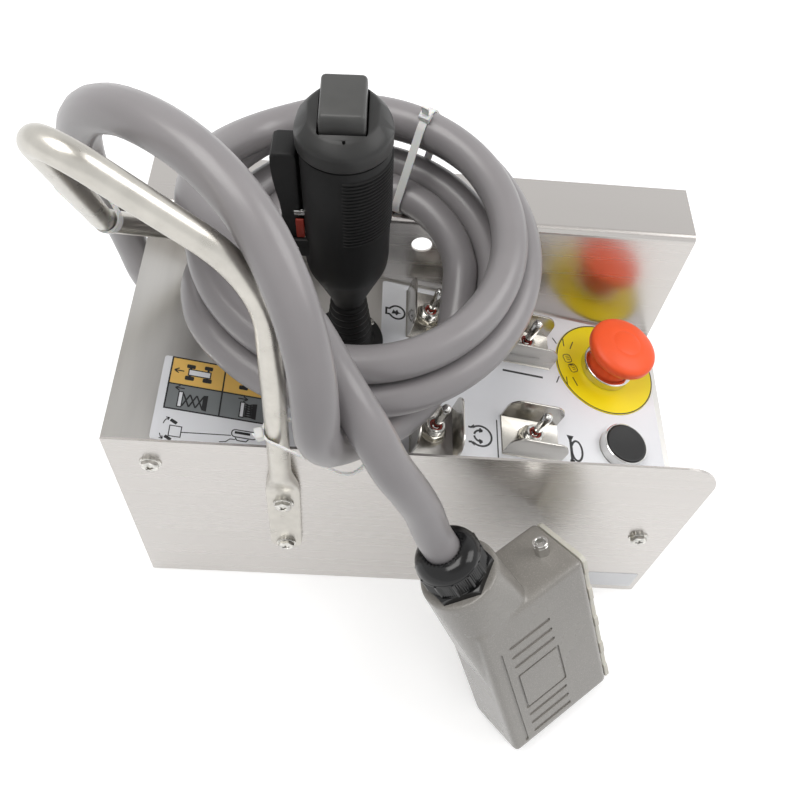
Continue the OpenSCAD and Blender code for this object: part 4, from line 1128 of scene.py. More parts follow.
def chassis(black, pale, x):
    """Frame of a chassis seen from above, with its four wheels."""
    for wx, wy, w, h in ((x, -21.4, 4.8, 2.6), (x + 9.6, -20.8, 4.6, 2.6), (x, -29.4, 5.0, 2.8),
                         (x + 9.7, -29.3, 5.0, 2.8)):
        print_field(black, [(wx + a, wy + b) for a, b in rounded_outline(w, h, 0.6, 2)])
    for wx in (x, x + 9.6):
        print_line(black, [(wx, -21.4), (wx, -29.2)], 1.3)
    frame_corners = box_corners(x - 0.9, -23.4, x + 11.1, -27.4)
    print_field(pale, frame_corners, PRINT_HIGH + 0.01)
    print_line(black, frame_corners, FRAME_WIDTH, True, 0.02)


class LIFTBOX_OT_films(bpy.types.Operator):
    """White films on the panel with their plain printed signs"""
    bl_idname = "liftbox.films"
    bl_label = "Films"

    def execute(self, context):
        dress("left_decal", white_film())
        dress("right_decal", white_film())
        line = context.scene.lift_box_sizes.ink / MM
        self.left_signs(line)
        self.right_signs(line * 1.45)
        return {"FINISHED"}

    def left_signs(self, line):
        """Two rows of fields with chassis and scissor stacks, and the controller below them."""
        ochre, grey, pale, black = (bmesh.new() for _ in range(4))
        far, middle, near = LEFT_FRAME["rows"]
        left, centre, right = LEFT_FRAME["columns"]
        past = LEFT_FRAME["past"]
        print_field(ochre, box_corners(left, far, right, middle), FIELD_HIGH)
        print_field(grey, box_corners(left, middle, right, near), FIELD_HIGH)
        for y in (far, middle, near):
            print_line(black, [(left - past, y), (right + past, y)], line)
        for x in (left, centre, right):
            print_line(black, [(x, far), (x, near)], line)
        chassis(black, pale, -131)
        chassis(black, pale, -101)
        print_arrow(black, (-134.4, -25.3), (-139.4, -25.3), line * ARROW)
        print_arrow(black, (-89, -25.3), (-84.6, -25.3), line * ARROW, 1.8)
        # Raised and folded scissor stacks
        print_arrow(black, (-132.4, -36.9), (-137.2, -36.9), line * ARROW)
        print_arrow(black, (-103, -36.9), (-98, -36.9), line * ARROW)
        for x, arms in ((-135.1, 3), (-101.4, 0)):
            self.scissor_stack(black, pale, x, arms, line)
        self.controller(black, line)
        for name, bm, ink, slot in (("ochre_printing", ochre, ochre_ink(), "yellow_film"),
                                    ("grey_printing", grey, grey_ink(), "case_plastic"),
                                    ("pale_printing", pale, white_film(), "white_film"),
                                    ("left_black_printing", black, black_ink(), "black_plastic")):
            add_piece(name, to_mesh(bm, name, on_panel(0, 0)), "housing", ink)

    def scissor_stack(self, black, pale, x, arms, line):
        """Side view of the stack between its two decks: crossed arms, or folded with none."""
        deck = box_corners(x, -39.2, x + 2.3, -49)
        print_field(pale, deck, PALE_HIGH)
        print_line(black, deck, line * MEDIUM, True)
        for k in range(arms):
            a, b = x + 2.6 + 3.6 * k, x + 6.2 + 3.6 * k
            for start, end in ((-40.2, -48.2), (-48.2, -40.2)):
                print_line(black, [(a, start), (b, end)], line)
        end = x + 2.4 + 3.6 * arms if arms else x + 6.6
        for k in range(0 if arms else 6):
            print_line(black, [(x + 2.8, -39.9 - 1.6 * k), (end, -41.4 - 1.4 * k)], line)
            print_line(black, [(x + 2.8, -41.5 - 1.4 * k), (end, -39.9 - 1.6 * k)], line)
        print_field(black, [(end, -39.4), (end + 2.6, -39.0), (end + 2.6, -49.4), (end, -49.0)])

    def controller(self, black, line):
        """The controller on its cable, beside a chassis with its wheels turned."""
        print_line(black, box_corners(-136.6, -61.6, -130.4, -68.2), line * THIN, True)
        print_line(black, [(-130.4, -65), (-104.2, -61.8)], line * THIN)
        turn = Matrix.Rotation(math.radians(-28), 2)
        for place in ((-135, -59), (-136.6, -69.6)):
            print_field(black, [tuple(turn @ Vector(p) + Vector(place))
                                for p in rounded_outline(4.0, 1.9, 0.4, 2)])
        for x, y, start, end in ((-135, -61.5, 175, 120), (-136, -66.5, 190, 230)):
            points = arc(x, y, 5.2, start, end, 8)
            print_line(black, points, line * THIN)
            print_arrow(black, points[-2], points[-1], line * THIN, 1.4)
        body = [(x - 97.2, y - 60.0) for x, y in rounded_outline(13.6, 4.6, 2.0, 4)]
        print_line(black, body, line * MEDIUM, True)
        print_field(black, box_corners(-102.4, -58.6, -94.0, -60.2))
        print_line(black, [(-101.8, -62.8), (-100.6, -64.4), (-95.8, -64.4), (-94.6, -62.8)],
                   line * MEDIUM)
        print_line(black, [(-110, -67), (-106.5, -66.2), (-104.5, -64.2), (-101.5, -64)],
                   line * THIN)

    def right_signs(self, line):
        """Two rules, a painted shadow line at the right near guard's foot, two engine signs, the
        horn and the rays at the stop's disc.
        """
        black = bmesh.new()
        # The last line, at x 52.2 beside the right near guard, is painted shadow along the guard's
        # foot, not a printed rule
        for a, b, width in (((-5, 32.2), (-5, 55.4), 1.5), ((58.2, 19.6), (86, 19.6), 1.5),
                            ((52.2, -48), (52.2, -20), 0.8)):
            print_line(black, [a, b], width)
        # Engine with a heater
        outline = [(-19.6, 46.6), (-19.6, 51.2), (-17.4, 51.2), (-16.4, 52.4)]
        outline += arc(-12.6, 48.9, 5.2, 115, -115, 20) + [(-16.4, 45.4), (-17.4, 46.6)]
        print_line(black, outline, line, True)
        print_field(black, [(-16.2, 47.2), (-14.8, 50.9), (-13.7, 49.4), (-12.5, 51.3),
                            (-11.6, 49.3), (-9.6, 48.6), (-11.8, 47.9), (-12.6, 46.3),
                            (-13.9, 47.7)])
        # Engine with a turning arrow
        outline = [(33.6, -28.4), (35.4, -28.6), (36.8, -27.4)]
        outline += arc(41.3, -33.8, 7.1, 128, -128, 24)
        outline += [(36.8, -40.2), (35.4, -38.9), (33.6, -39.1)]
        print_line(black, outline, line)
        for start, end in ((170, 75), (185, 282)):
            points = arc(41.2, -33.8, 3.9, start, end, 12)
            print_line(black, points, line)
            print_arrow(black, points[-2], points[-1], line, 1.7)
        # Horn
        print_line(black, [(101.0, -22.8), (101.3, -30), (101.2, -41)], 1.9)
        print_field(black, [(98.8, -21.6), (103.6, -21.9), (102.2, -24.6), (100.0, -24.6)])
        print_field(black, [(99.9, -39.2), (102.7, -39.2), (103.4, -41.2), (99.5, -41.2)])
        print_line(black, arc(105.0, -32.4, 3.6, 150, -170, 24, 2.0), line * 1.1)
        # Short rays at the edge of the stop's disc
        for a, b in (((95.6, 54.7), (98.2, 50.5)), ((97.9, 23.5), (95.5, 17.8))):
            print_line(black, [a, b], line * THIN)
        add_piece("right_black_printing", to_mesh(black, "right_black_printing", on_panel(0, 0)),
                  "housing", black_ink())


# Toggle switches

def toggle_frame(where):
    """Frame of a toggle switch, with Z along its bushing."""
    x, y = PLACES[where]
    turn = 90 if where.startswith("left") else 0
    return on_panel(x, y) @ Matrix.Rotation(math.radians(turn), 4, "Z")


def toggle_copies(name, template, material):
    """Copies of one piece at the four toggle switches."""
    frames = [toggle_frame(where) for where in TOGGLES]
    return repeated(name, "copies", template, {}, material, [f.translation * MM for f in frames],
                    [f.to_euler("XYZ") for f in frames])


class LIFTBOX_OT_switches(bpy.types.Operator):
    """The toggle switches: threaded bushings, cases, nuts with washers, seals and bright levers"""
    bl_idname = "liftbox.switches"
    bl_label = "Toggle Switches"

    def execute(self, context):
        thread = thread_profile(-1.2, 8.2, 0.8, 5.9, 5.5, (0.22, 0.42, 0.6))
        profile = [(0, -1.5), (5.7, -1.5)] + thread + [(5.7, 8.7), (5.4, 9.0), (4.2, 9.0),
                                                       (3.9, 8.7), (3.9, 0.8), (0, 0.8)]
        bushing = to_mesh(lathe(profile, 48), "bushing")
        lugs = [to_mesh(bevel_sharp(block((0.8, 3.6, 7.5), (6.0 * i, 0, -23.75)), 0.3), "lug")
                for i in (-1, 0, 1)]
        mesh = toggle_copies("switch_bushings", joined("bushing", [bushing] + lugs), zinc_steel())
        add_piece("switch_bushings", mesh, "housing", zinc_steel(),
                  ["switch_" + w for w in TOGGLES])
        case = to_mesh(bevel_sharp(block((20, 14, 19), (0, 0, -11)), 0.8), "case")
        add_piece("switch_cases", toggle_copies("switch_cases", case, case_plastic()), "housing",
                  case_plastic())

        washer = to_mesh(lathe([(5.95, 0), (8.4, 0), (8.6, 0.15), (8.6, 0.6), (8.4, 0.8),
                                (5.95, 0.8)], 56, True), "washer")
        nut = hexagon(14.0, 2.6, 0.8, 0.9, 5.95)
        mesh = moved(joined("toggle nut", [washer, nut]), Matrix.Translation((0, 0, GUARD_SHEET)))
        add_piece("toggle_nut_set", toggle_copies("toggle_nut_set", mesh, nut_plating()), "housing",
                  nut_plating(), ["toggle_nuts"])

        seal = to_mesh(lathe([(2.85, 7.7)] + arc(3.35, 7.8, 0.5, 180, 0, 8)
                             + [(3.85, 7.7), (3.85, 7.35), (2.85, 7.35)], 40, True), "seal")
        add_piece("lever_seals", toggle_copies("lever_seals", seal, seal_red()), "housing",
                  seal_red())

        stem = arc(0, 0, 3.2, -90, 55, 14) + [(1.9, 3.0), (1.9, 4.0), (2.4, 6.5), (2.95, 18.0),
                                              (3.1, 20.4)]
        stem += arc(0, 20.9, 3.1, 0, 90, 9)
        stem[0], stem[-1] = (0, stem[0][1]), (0, stem[-1][1])
        for where in TOGGLES:
            mesh = to_mesh(lathe(stem, 40), "bat_lever_" + where,
                           toggle_frame(where) @ Matrix.Translation((0, 0, LEVER_PIVOT)))
            add_piece("bat_lever_" + where, mesh, "toggle_" + where, bright_steel(),
                      ["lever_" + where])
        return {"FINISHED"}


# Emergency stop and horn

HEAD_CROWN = 60
DISC_PRINT = (0.95, 1.05)


class LIFTBOX_OT_stop(bpy.types.Operator):
    """Emergency stop: yellow disc with its signs, bright collar, red neck and mushroom head"""
    bl_idname = "liftbox.stop"
    bl_label = "Emergency Stop"

    def execute(self, context):
        place = on_panel(*PLACES["stop"])
        disc = lathe([(11.2, 0), (36, 0), (36, 0.75), (35.8, 1), (11.2, 1)], 128, True)
        add_piece("yellow_disc", to_mesh(disc, "yellow_disc", place), "housing",
                  disc_yellow(), ["stop_disc"])
        low, high = DISC_PRINT
        ink = lathe([(35.0, low), (35.75, low), (35.75, high), (35.0, high)], 128, True)
        cx, cy = PLACES["stop"]
        local = [[((x - cx) / math.cos(PANEL_ANGLE), y - cy) for x, y in pair]
                 for pair in (((102.9, 55.4), (103.2, 49)), ((110.2, 54.4), (107.6, 47.8)),
                              ((102.8, 23.8), (102.9, 17.4)), ((107.3, 24.4), (110.2, 18.1)))]
        for pair in local:
            stroke(ink, pair, 0.7, low, high)
        # Two plain blocks that meet, in place of a drawn sign
        for centre, turn in (((-27.6, 2.6), 20), ((-24.0, -4.6), 25)):
            spin = Matrix.Rotation(math.radians(turn), 2)
            outline = [tuple(spin @ Vector(p) + Vector(centre))
                       for p in rounded_outline(5.4, 6.4, 1.8, 4)]
            stroke(ink, outline, 0.5, low, high, True)
            for k in (-1.1, 0.3, 1.7):
                rule = [tuple(spin @ Vector(p) + Vector(centre)) for p in ((-0.8, k), (1.8, k))]
                stroke(ink, rule, 0.35, low, high)
        join_into(ink, prism([(-28.0, -2.6), (-25.2, -1.2), (-22.8, -1.0), (-25.6, -2.9)], low,
                             high + 0.01))
        add_piece("stop_printing", to_mesh(ink, "stop_printing", place), "housing",
                  black_ink())

        collar = [(8.3, -20), (11, -20), (11, 0.9), (17.3, 0.9), (17.8, 1.5), (17.8, 6.2)]
        collar += arc(16.6, 6.2, 1.2, 0, 80, 5) + [(15.2, 7.4), (14.9, 7.1), (14.9, 1.2),
                                                   (8.3, 1.2)]
        add_piece("bright_collar", to_mesh(lathe(collar, 96, True), "bright_collar", place, 30),
                  "housing", bright_steel(), ["stop_collar"])
        neck = [(0, -15.7), (8, -15.7), (8, 5.6), (14.1, 5.6), (14.5, 6.0), (14.5, 9.4),
                (13.6, 12.6), (12.8, 16.5), (12.6, 19.6), (12.2, 20), (6, 20), (6, 25.6), (5.6, 26),
                (0, 26)]
        add_piece("red_neck", to_mesh(lathe(neck, 80), "red_neck", place), "stop_slide",
                  stop_red(), ["stop_plunger"])
        bottom = 20.2

        def crown(r):
            """Height of the head's round top at a radius"""
            return bottom + 13 - HEAD_CROWN + math.sqrt(HEAD_CROWN ** 2 - r * r)

        head = [(0, bottom + 6.4), (6.3, bottom + 6.4), (6.3, bottom), (13.5, bottom),
                (18.6, bottom + 0.3)]
        head += arc(19.2, bottom + 4.1, 3.8, -80, 0, 7) + [(23, bottom + 6.0)]
        head += [(22.8, bottom + 7.0), (22.3, bottom + 7.9), (21.4, crown(21.4) - 0.5),
                 (20.2, crown(20.2) - 0.12)]
        head += [(r, crown(r)) for r in (18.5, 16.0, 13.5, 10.4)]
        head += [(10.0, crown(10.0) - 0.14), (9.6, crown(9.6) - 0.22), (9.2, crown(9.2) - 0.14)]
        head += [(r, crown(r)) for r in (8.8, 6.0, 3.0, 0)]
        add_piece("mushroom_head", to_mesh(lathe(head, 128), "mushroom_head", place, 50),
                  "stop_knob", stop_red(), ["stop_head"])
        dress("stop_block", case_plastic())
        return {"FINISHED"}


class LIFTBOX_OT_horn(bpy.types.Operator):
    """Horn button: bright bezel and dished black cap"""
    bl_idname = "liftbox.horn"
    bl_label = "Horn Button"

    def execute(self, context):
        place = on_panel(*PLACES["horn"])
        bezel = [(5.3, -16), (11, -16), (11, 0.1), (14.9, 0.1), (14.9, 7.0), (14.75, 7.5),
                 (14.3, 7.8), (13.9, 7.8), (13.7, 7.5), (13.7, 1.0), (5.3, 1.0)]
        add_piece("bright_bezel", to_mesh(lathe(bezel, 96, True), "bright_bezel", place, 30),
                  "housing", bright_steel(), ["horn_bezel"])
        cap = [(0, -12), (5, -12), (5, 4.2), (13.2, 4.2), (13.5, 4.6), (13.5, 7.6)]
        cap += arc(12.6, 7.6, 0.9, 20, 80, 4)
        cap += [(r, 7.9 + r * r / 265.6) for r in (12.0, 9, 6, 3, 0)]
        add_piece("black_cap", to_mesh(lathe(cap, 96), "black_cap", place), "horn_button",
                  black_plastic(), ["horn_cap"])
        dress("horn_block", case_plastic())
        return {"FINISHED"}


# Joystick

BOOT_TOP, BOOT_BOTTOM, BOOT_PLEATS = 38.0, 7.0, 6
TRIGGER_PIVOT = (-26, 0, 92)
CROWN_TOP, CROWN_RADIUS = 172.0, 33.2
HEAD_RADIUS, HEAD_SHIFT = 23.75, 0.5
LEAN_SLOPE, LEAN_FROM, LEAN_OVER = 0.16, 158, 8
RIB_START, RIB_PITCH, RIB_POINTS = 105.5, 2.2, 48


def boot_radius(z, wall):
    """Radius of the bellows at a height: a cone with round pleats."""
    share = (z - BOOT_BOTTOM) / (BOOT_TOP - BOOT_BOTTOM)
    pleat = 0.5 - 0.5 * math.cos(math.tau * share * BOOT_PLEATS)
    return 12.6 - 3.6 * share + 1.6 * pleat - wall


def boot_mesh():
    """Rubber bellows from the foot on the flange to the grip's neck, with an inner skin."""
    x, y = PLACES["joystick"]
    foot, stick = on_panel(x, y), on_joystick()

    def ring(frame, radius, height):
        return [frame @ Vector((radius * math.cos(math.tau * k / 64),
                                radius * math.sin(math.tau * k / 64), height)) for k in range(64)]

    heights = [BOOT_BOTTOM + (BOOT_TOP - BOOT_BOTTOM) * k / 60 for k in range(61)]
    rings = [ring(foot, 14.4, 3.0), ring(foot, 14.4, 3.9), ring(foot, 14.1, 4.2)]
    rings += [ring(stick, boot_radius(z, 0), z) for z in heights]
    rings += [ring(stick, boot_radius(z, 1.4), z) for z in heights[::-1]]
    rings += [ring(foot, 11.8, 3.0)]
    return to_mesh(loft(rings, True), "rubber_bellows", smooth=60)


def grip_mesh():
    """Turned grip with the recess for the trigger and two ears."""
    profile = [(0, 38), (8.9, 38), (9.5, 38.5), (11, 44), (12.6, 48), (16.2, 57), (19.6, 65.2),
               (20.8, 68.0), (21.6, 70.2), (22.2, 72.5), (22.6, 76), (22.9, 80), (23, 84),
               (23, 152.2), (22.7, 153.0), (21.8, 153.4), (0, 153.4)]
    body = to_mesh(lathe(profile, 128), "grip")
    for side in (-1, 1):
        ear = block((14, 3, 12), (-24, side * 10.9, 92))
        body = combined(body, to_mesh(bevel_sharp(ear, 0.8, 30, 2), "ear"), "UNION")
    space = block((30, 18.8, 70), (-31, 0, 119))
    return combined(body, to_mesh(space, "recess"))


def rib_template():
    """One raised rib round the palm side of the grip, tapered at its ends."""
    rings = []
    for k in range(RIB_POINTS + 1):
        turn = math.radians(-94 + 188 * k / RIB_POINTS)
        out = 22.6 + 1.3 * min(1.0, k / 1.5, (RIB_POINTS - k) / 1.5)
        section = [(22.4, 0.0), (22.95, 0.0), (out, 0.35), (out, 0.8), (22.95, 1.15), (22.4, 1.15)]
        rings.append([Vector((r * math.cos(turn), r * math.sin(turn), z)) for r, z in section])
    return to_mesh(loft(rings), "rib", on_joystick() @ Matrix.Translation((0, 0, RIB_START)))


def raised_back(bm):
    """Lifts the head's crown towards the back, so that its face leans to the hand."""
    for vert in bm.verts:
        share = min(1.0, max(0.0, (vert.co.z - LEAN_FROM) / LEAN_OVER))
        vert.co.z += LEAN_SLOPE * (vert.co.y + HEAD_RADIUS) * share
    return bm


def head_mesh():
    """Domed head: its crown cut into flats beside the rocker, with a seam under its rim."""
    crown = CROWN_TOP - CROWN_RADIUS
    profile = [(0, 152.8), (22.2, 152.8), (22.2, 154.6), (23.3, 154.6), (HEAD_RADIUS, 155.2),
               (HEAD_RADIUS, LEAN_FROM), (HEAD_RADIUS, 160.6), (23.5, 162.0), (22.6, 163.2)]
    profile += [(r, crown + math.sqrt(CROWN_RADIUS ** 2 - r * r) - 0.1)
                for r in (21, 18.5, 16, 13.5, 11, 8, 4)]
    profile += [(0, CROWN_TOP - 0.1)]
    body = to_mesh(raised_back(lathe(profile, 128)), "head")
    roof = []
    for y in (-30, -20, -10, 0, 10, 20, 30):
        roof.append([(x, y, z) for x, z in ((-30, 140), (30, 140), (30, 153.6), (17.0, 166.6),
                                            (16.0, 167.2), (-16.0, 167.2), (-17.0, 166.6),
                                            (-30, 153.6))])
    body = combined(body, to_mesh(raised_back(loft(roof)), "roof"), "INTERSECT")
    well = to_mesh(prism([(x, y + HEAD_SHIFT) for x, y in rounded_outline(23.8, 28.4, 1.6)], 159.5,
                         190), "well")
    body = combined(body, well)
    pit = to_mesh(lathe([(0, 160), (0.8, 160), (0.8, 178), (0, 178)], 16), "pit",
                  Matrix.Translation((1.0, -17.4, 0)))
    return combined(body, pit)


def rocker_mesh():
    """Square rocker with a leaning face and round edges."""
    rows = []
    for z, w, h, r in ((162, 20, 24.5, 1.2), (166, 21.8, 26.4, 1.4), (172, 21.9, 26.6, 1.4),
                       (174.0, 21.5, 26.2, 1.5), (175.2, 20.7, 25.4, 1.6), (175.8, 19.7, 24.4, 1.6),
                       (176.0, 18.4, 23.2, 1.5)):
        rows.append([Vector((x, y + HEAD_SHIFT, z)) for x, y in rounded_outline(w, h, r)])
    return raised_back(loft(rows))


def trigger_axis():
    """Frame of the trigger's pin on the joystick, with Z along it."""
    return Matrix.Translation(TRIGGER_PIVOT) @ Matrix.Rotation(math.radians(90), 4, "X")


def trigger_mesh():
    """Squeeze trigger with two finger hollows and round edges."""
    outline = [(-29.4, 88), (-24, 88), (-22.9, 91), (-22.5, 96), (-22.5, 149), (-23.3, 151.6),
               (-25, 152.5), (-32.4, 152.5), (-34.4, 151.6), (-35.4, 149.2), (-35.6, 144),
               (-35.2, 136), (-34.2, 128), (-33.0, 121), (-32.4, 114), (-32.6, 108), (-32.7, 103),
               (-32, 97), (-30.8, 91)]
    bm = prism(outline, -9, 9)
    bevel_sharp(bm, 1.3, 60, 3)
    body = to_mesh(bm, "trigger", Matrix.Rotation(math.radians(90), 4, "X"))
    hole = to_mesh(lathe([(0, -14), (1.8, -14), (1.8, 14), (0, 14)], 24), "hole", trigger_axis())
    return combined(body, hole)


class LIFTBOX_OT_joystick(bpy.types.Operator):
    """Joystick: flange, bellows, ribbed grip, domed head with its rocker, and the trigger"""
    bl_idname = "liftbox.joystick"
    bl_label = "Joystick"

    def execute(self, context):
        x, y = PLACES["joystick"]
        place, stick = on_panel(x, y), on_joystick()
        flange = [(11.6, -1.5), (16.8, -1.5), (16.8, 0), (20.6, 0), (21, 0.4), (21, 2.2),
                  (20.2, 3.0), (11.6, 3.0)]
        case = combined(to_mesh(bevel_sharp(block((52, 52, 44.5), (0, 0, -23.75)), 1.5), "case"),
                        to_mesh(lathe([(0, -23), (11.6, -23), (11.6, 5), (0, 5)], 48), "room"))
        mesh = moved(joined("joystick_flange", [to_mesh(lathe(flange, 96, True), "flange"), case]),
                     place)
        add_piece("joystick_flange", mesh, "housing", black_plastic(),
                  ["joystick_base"])
        button = [(0, 2.9), (2.4, 2.9), (2.4, 3.7)] + arc(1.6, 3.6, 0.8, 20, 90, 4) + [(0, 4.4)]
        button = combined(to_mesh(lathe(button, 32), "button"),
                          to_mesh(prism(hexagon_points(2.4), 3.6, 5), "socket"))
        mesh = repeated("flange_screws", "circle", button, {"Count": 4, "Radius": 17.2 * MM},
                        zinc_steel())
        add_piece("flange_screws", moved(mesh, place @ Matrix.Rotation(math.radians(45), 4, "Z")),
                  "housing", zinc_steel())
        bellows = add_piece("rubber_bellows", boot_mesh(), None, bellows_rubber(),
                            ["joystick_boot"])
        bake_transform(bellows)
        dress("joystick_shaft", zinc_steel())
        add_piece("moulded_grip", moved(grip_mesh(), stick), "stick",
                  grip_plastic(), ["joystick_grip"])
        count = context.scene.lift_box_sizes.rib_count
        step = stick.to_3x3() @ Vector((0, 0, RIB_PITCH)) * MM
        ribs = repeated("grip_ribs", "row", rib_template(), {"Count": count, "Step": step},
                        grip_plastic())
        add_piece("grip_ribs", ribs, "stick", grip_plastic())
        add_piece("domed_head", moved(head_mesh(), stick), "stick", head_plastic(),
                  ["joystick_head"])
        add_piece("square_rocker", to_mesh(rocker_mesh(), "square_rocker", stick, 40), "rocker",
                  rocker_plastic(), ["thumb_rocker"])
        add_piece("squeeze_trigger", moved(trigger_mesh(), stick), "trigger",
                  grip_plastic(), ["enable_trigger"])
        pin = lathe([(0, -12.8), (1.3, -12.8), (1.6, -12.5), (1.6, 12.5), (1.3, 12.8), (0, 12.8)],
                    32)
        mesh = to_mesh(pin, "trigger_axle", stick @ trigger_axis())
        add_piece("trigger_axle", mesh, "stick", zinc_steel(), ["trigger_pin"])
        sleeve = bevel_sharp(block((4.4, 1.5, 13), (-23.2, -9.95, 105)), 0.6, 30, 3)
        add_piece("red_sleeve", to_mesh(sleeve, "red_sleeve", stick), "stick",
                  seal_red())
        leaf = bevel_sharp(block((5.6, 1.2, 3.0), (-23.0, -9.9, 116)), 0.3, 30, 2)
        add_piece("bright_leaf", to_mesh(leaf, "bright_leaf", stick), "stick",
                  bright_steel())
        return {"FINISHED"}


# Cable glands

def gland_meshes(wall, nut_behind):
    """Body, dome nut, row of teeth and seal of a cable gland along +Z, in metres."""
    end = wall + 8.0
    thread = thread_profile(-end + 0.4, -0.6, 1.5, 15.5, 14.8, (0.4, 0.8, 1.0))
    thread = [(0, -end), (15.0, -end)] + thread + [(14.8, 0.5), (0, 0.5)]
    body = [hexagon(GLAND_HEX_FLATS, GLAND_HEX_HEIGHT, 0.0, 1.6),
            to_mesh(lathe(thread, 64), "thread")]
    if nut_behind:
        body.append(hexagon(GLAND_HEX_FLATS, 5.0, -wall - 5.0, 1.6))
    # Twelve flats with fine upright ribs
    corners = [Vector((19 * math.cos(math.radians(30 * k)), 19 * math.sin(math.radians(30 * k))))
               for k in range(13)]
    outline = []
    for a, b in zip(corners, corners[1:]):
        outline += [tuple(a.lerp(b, k / 16) * (0.972 if k and k % 2 == 0 else 1.0))
                    for k in range(16)]
    flats = to_mesh(prism(outline, 9.4, 20.2), "flats", smooth=20)
    dome = [(12.0, 9.2), (18.3, 9.2), (18.3, 10.2), (18.0, 10.2), (18.0, 19.6), (18.6, 19.8),
            (18.5, 20.6)]
    dome += arc(9.35, 20.0, 8.95, 6, 82, 12) + [(11.0, 28.8), (10.5, 28.4), (10.5, 24.0),
                                                (12.0, 24.0)]
    nut = [flats, to_mesh(lathe(dome, 96, True), "dome", smooth=25)]
    tooth = bevel_sharp(block((1.5, 1.25, 1.6), (0, 0, 28.5)), 0.2)
    ring = to_mesh(lathe([(10.02, 24.0), (10.6, 24.0), (10.6, 27.6), (10.02, 27.6)], 64, True),
                   "seal")
    return joined("body", body), joined("nut", nut, 25), to_mesh(tooth, "tooth"), ring


class LIFTBOX_OT_glands(bpy.types.Operator):
    """Black cable glands at the back of the box and in the plug's neck"""
    bl_idname = "liftbox.glands"
    bl_label = "Cable Glands"

    def execute(self, context):
        nylon = gland_nylon()
        glands = (
            ("box_gland", at_box_gland(), SHEET, True, ("gland_body", "gland_nut")),
            ("plug_gland", at_plug_gland(), HOOD_WALL, False,
             ("plug_gland_body", "plug_gland_nut")),
        )
        for name, place, wall, behind, nodes in glands:
            body, nut, tooth, ring = gland_meshes(wall, behind)
            add_piece(name + "_hexagon", moved(body, place), "housing", nylon,
                      [nodes[0]])
            add_piece(name + "_dome", moved(nut, place), "housing", nylon,
                      [nodes[1]])
            teeth = repeated(name + "_teeth", "circle", tooth, {"Count": 30, "Radius": 11.1 * MM},
                             nylon)
            mesh = joined(name + "_teeth", [moved(teeth, place), moved(ring, place)])
            add_piece(name + "_teeth", mesh, "housing", nylon)
        return {"FINISHED"}


# Plug

def hood_mesh():
    """Die-cast hood: a round-edged case that runs into the neck, with its cavity and grooves."""
    case = to_mesh(bevel_sharp(block(HOOD, [v / 2 for v in HOOD]), 3.4, 30, 4), "case")
    bm = bmesh.new()
    place = at_plug().inverted() @ at_plug_gland()
    for y, z in rounded_outline(41, 38.6, 6.0, 5):
        for x in (56, 112):
            bm.verts.new((x, 21.5 + y * 0.98, 21.5 + z))
    for k in range(48):
        turn = math.tau * k / 48
        for radius, height in ((22.5, -3.0), (22.5, 3.6), (21.9, 4.6)):
            bm.verts.new(place @ Vector((radius * math.cos(turn), radius * math.sin(turn), height)))
    bmesh.ops.convex_hull(bm, input=bm.verts)
    body = combined(case, to_mesh(bm, "neck"), "UNION")
    piece = bpy.data.objects.new("hood to smooth", body)
    bpy.context.scene.collection.objects.link(piece)
    remesh = piece.modifiers.new("skin", "REMESH")
    remesh.mode, remesh.voxel_size, remesh.use_smooth_shade = "VOXEL", 0.00095, True
    soften = piece.modifiers.new("soften", "SMOOTH")
    soften.factor, soften.iterations = 0.5, 4
    body = evaluated_mesh(piece, "hood")
    cutter = block((HOOD[0] - 2 * HOOD_WALL, 76, HOOD[2] - 2 * HOOD_WALL),
                   (HOOD[0] / 2, 62, HOOD[2] / 2))
    body = combined(body, to_mesh(cutter, "cavity"))
    grooves = bmesh.new()
    for x in (8.75, 17.75, 26.75, 76.75, 85.75, 94.75):
        join_into(grooves, prism([(x + a, 31 + b) for a, b in rounded_outline(2.8, 30, 1.3, 4)], -1,
                                 0.8))
    join_into(grooves, prism([(50 + a, 9.7 + b) for a, b in rounded_outline(90, 2.2, 1.0, 4)], -1,
                             0.8))
    frame_rings = [[(51 + x, 31.5 + y, z) for x, y in rounded_outline(w, h, 1.0, 3)]
                   for w, h, z in ((34.6, 31.6, -1), (34.6, 31.6, 0.9), (31.4, 28.4, 0.9),
                                   (31.4, 28.4, -1))]
    join_into(grooves, loft(frame_rings, True))
    body = combined(body, to_mesh(grooves, "grooves"))
    bore = to_mesh(lathe([(0, -14), (15.55, -14), (15.55, 6), (0, 6)], 64), "bore", place)
    body = combined(body, bore)
    body.shade_smooth()
    body.set_sharp_from_angle(angle=math.radians(42))
    return body


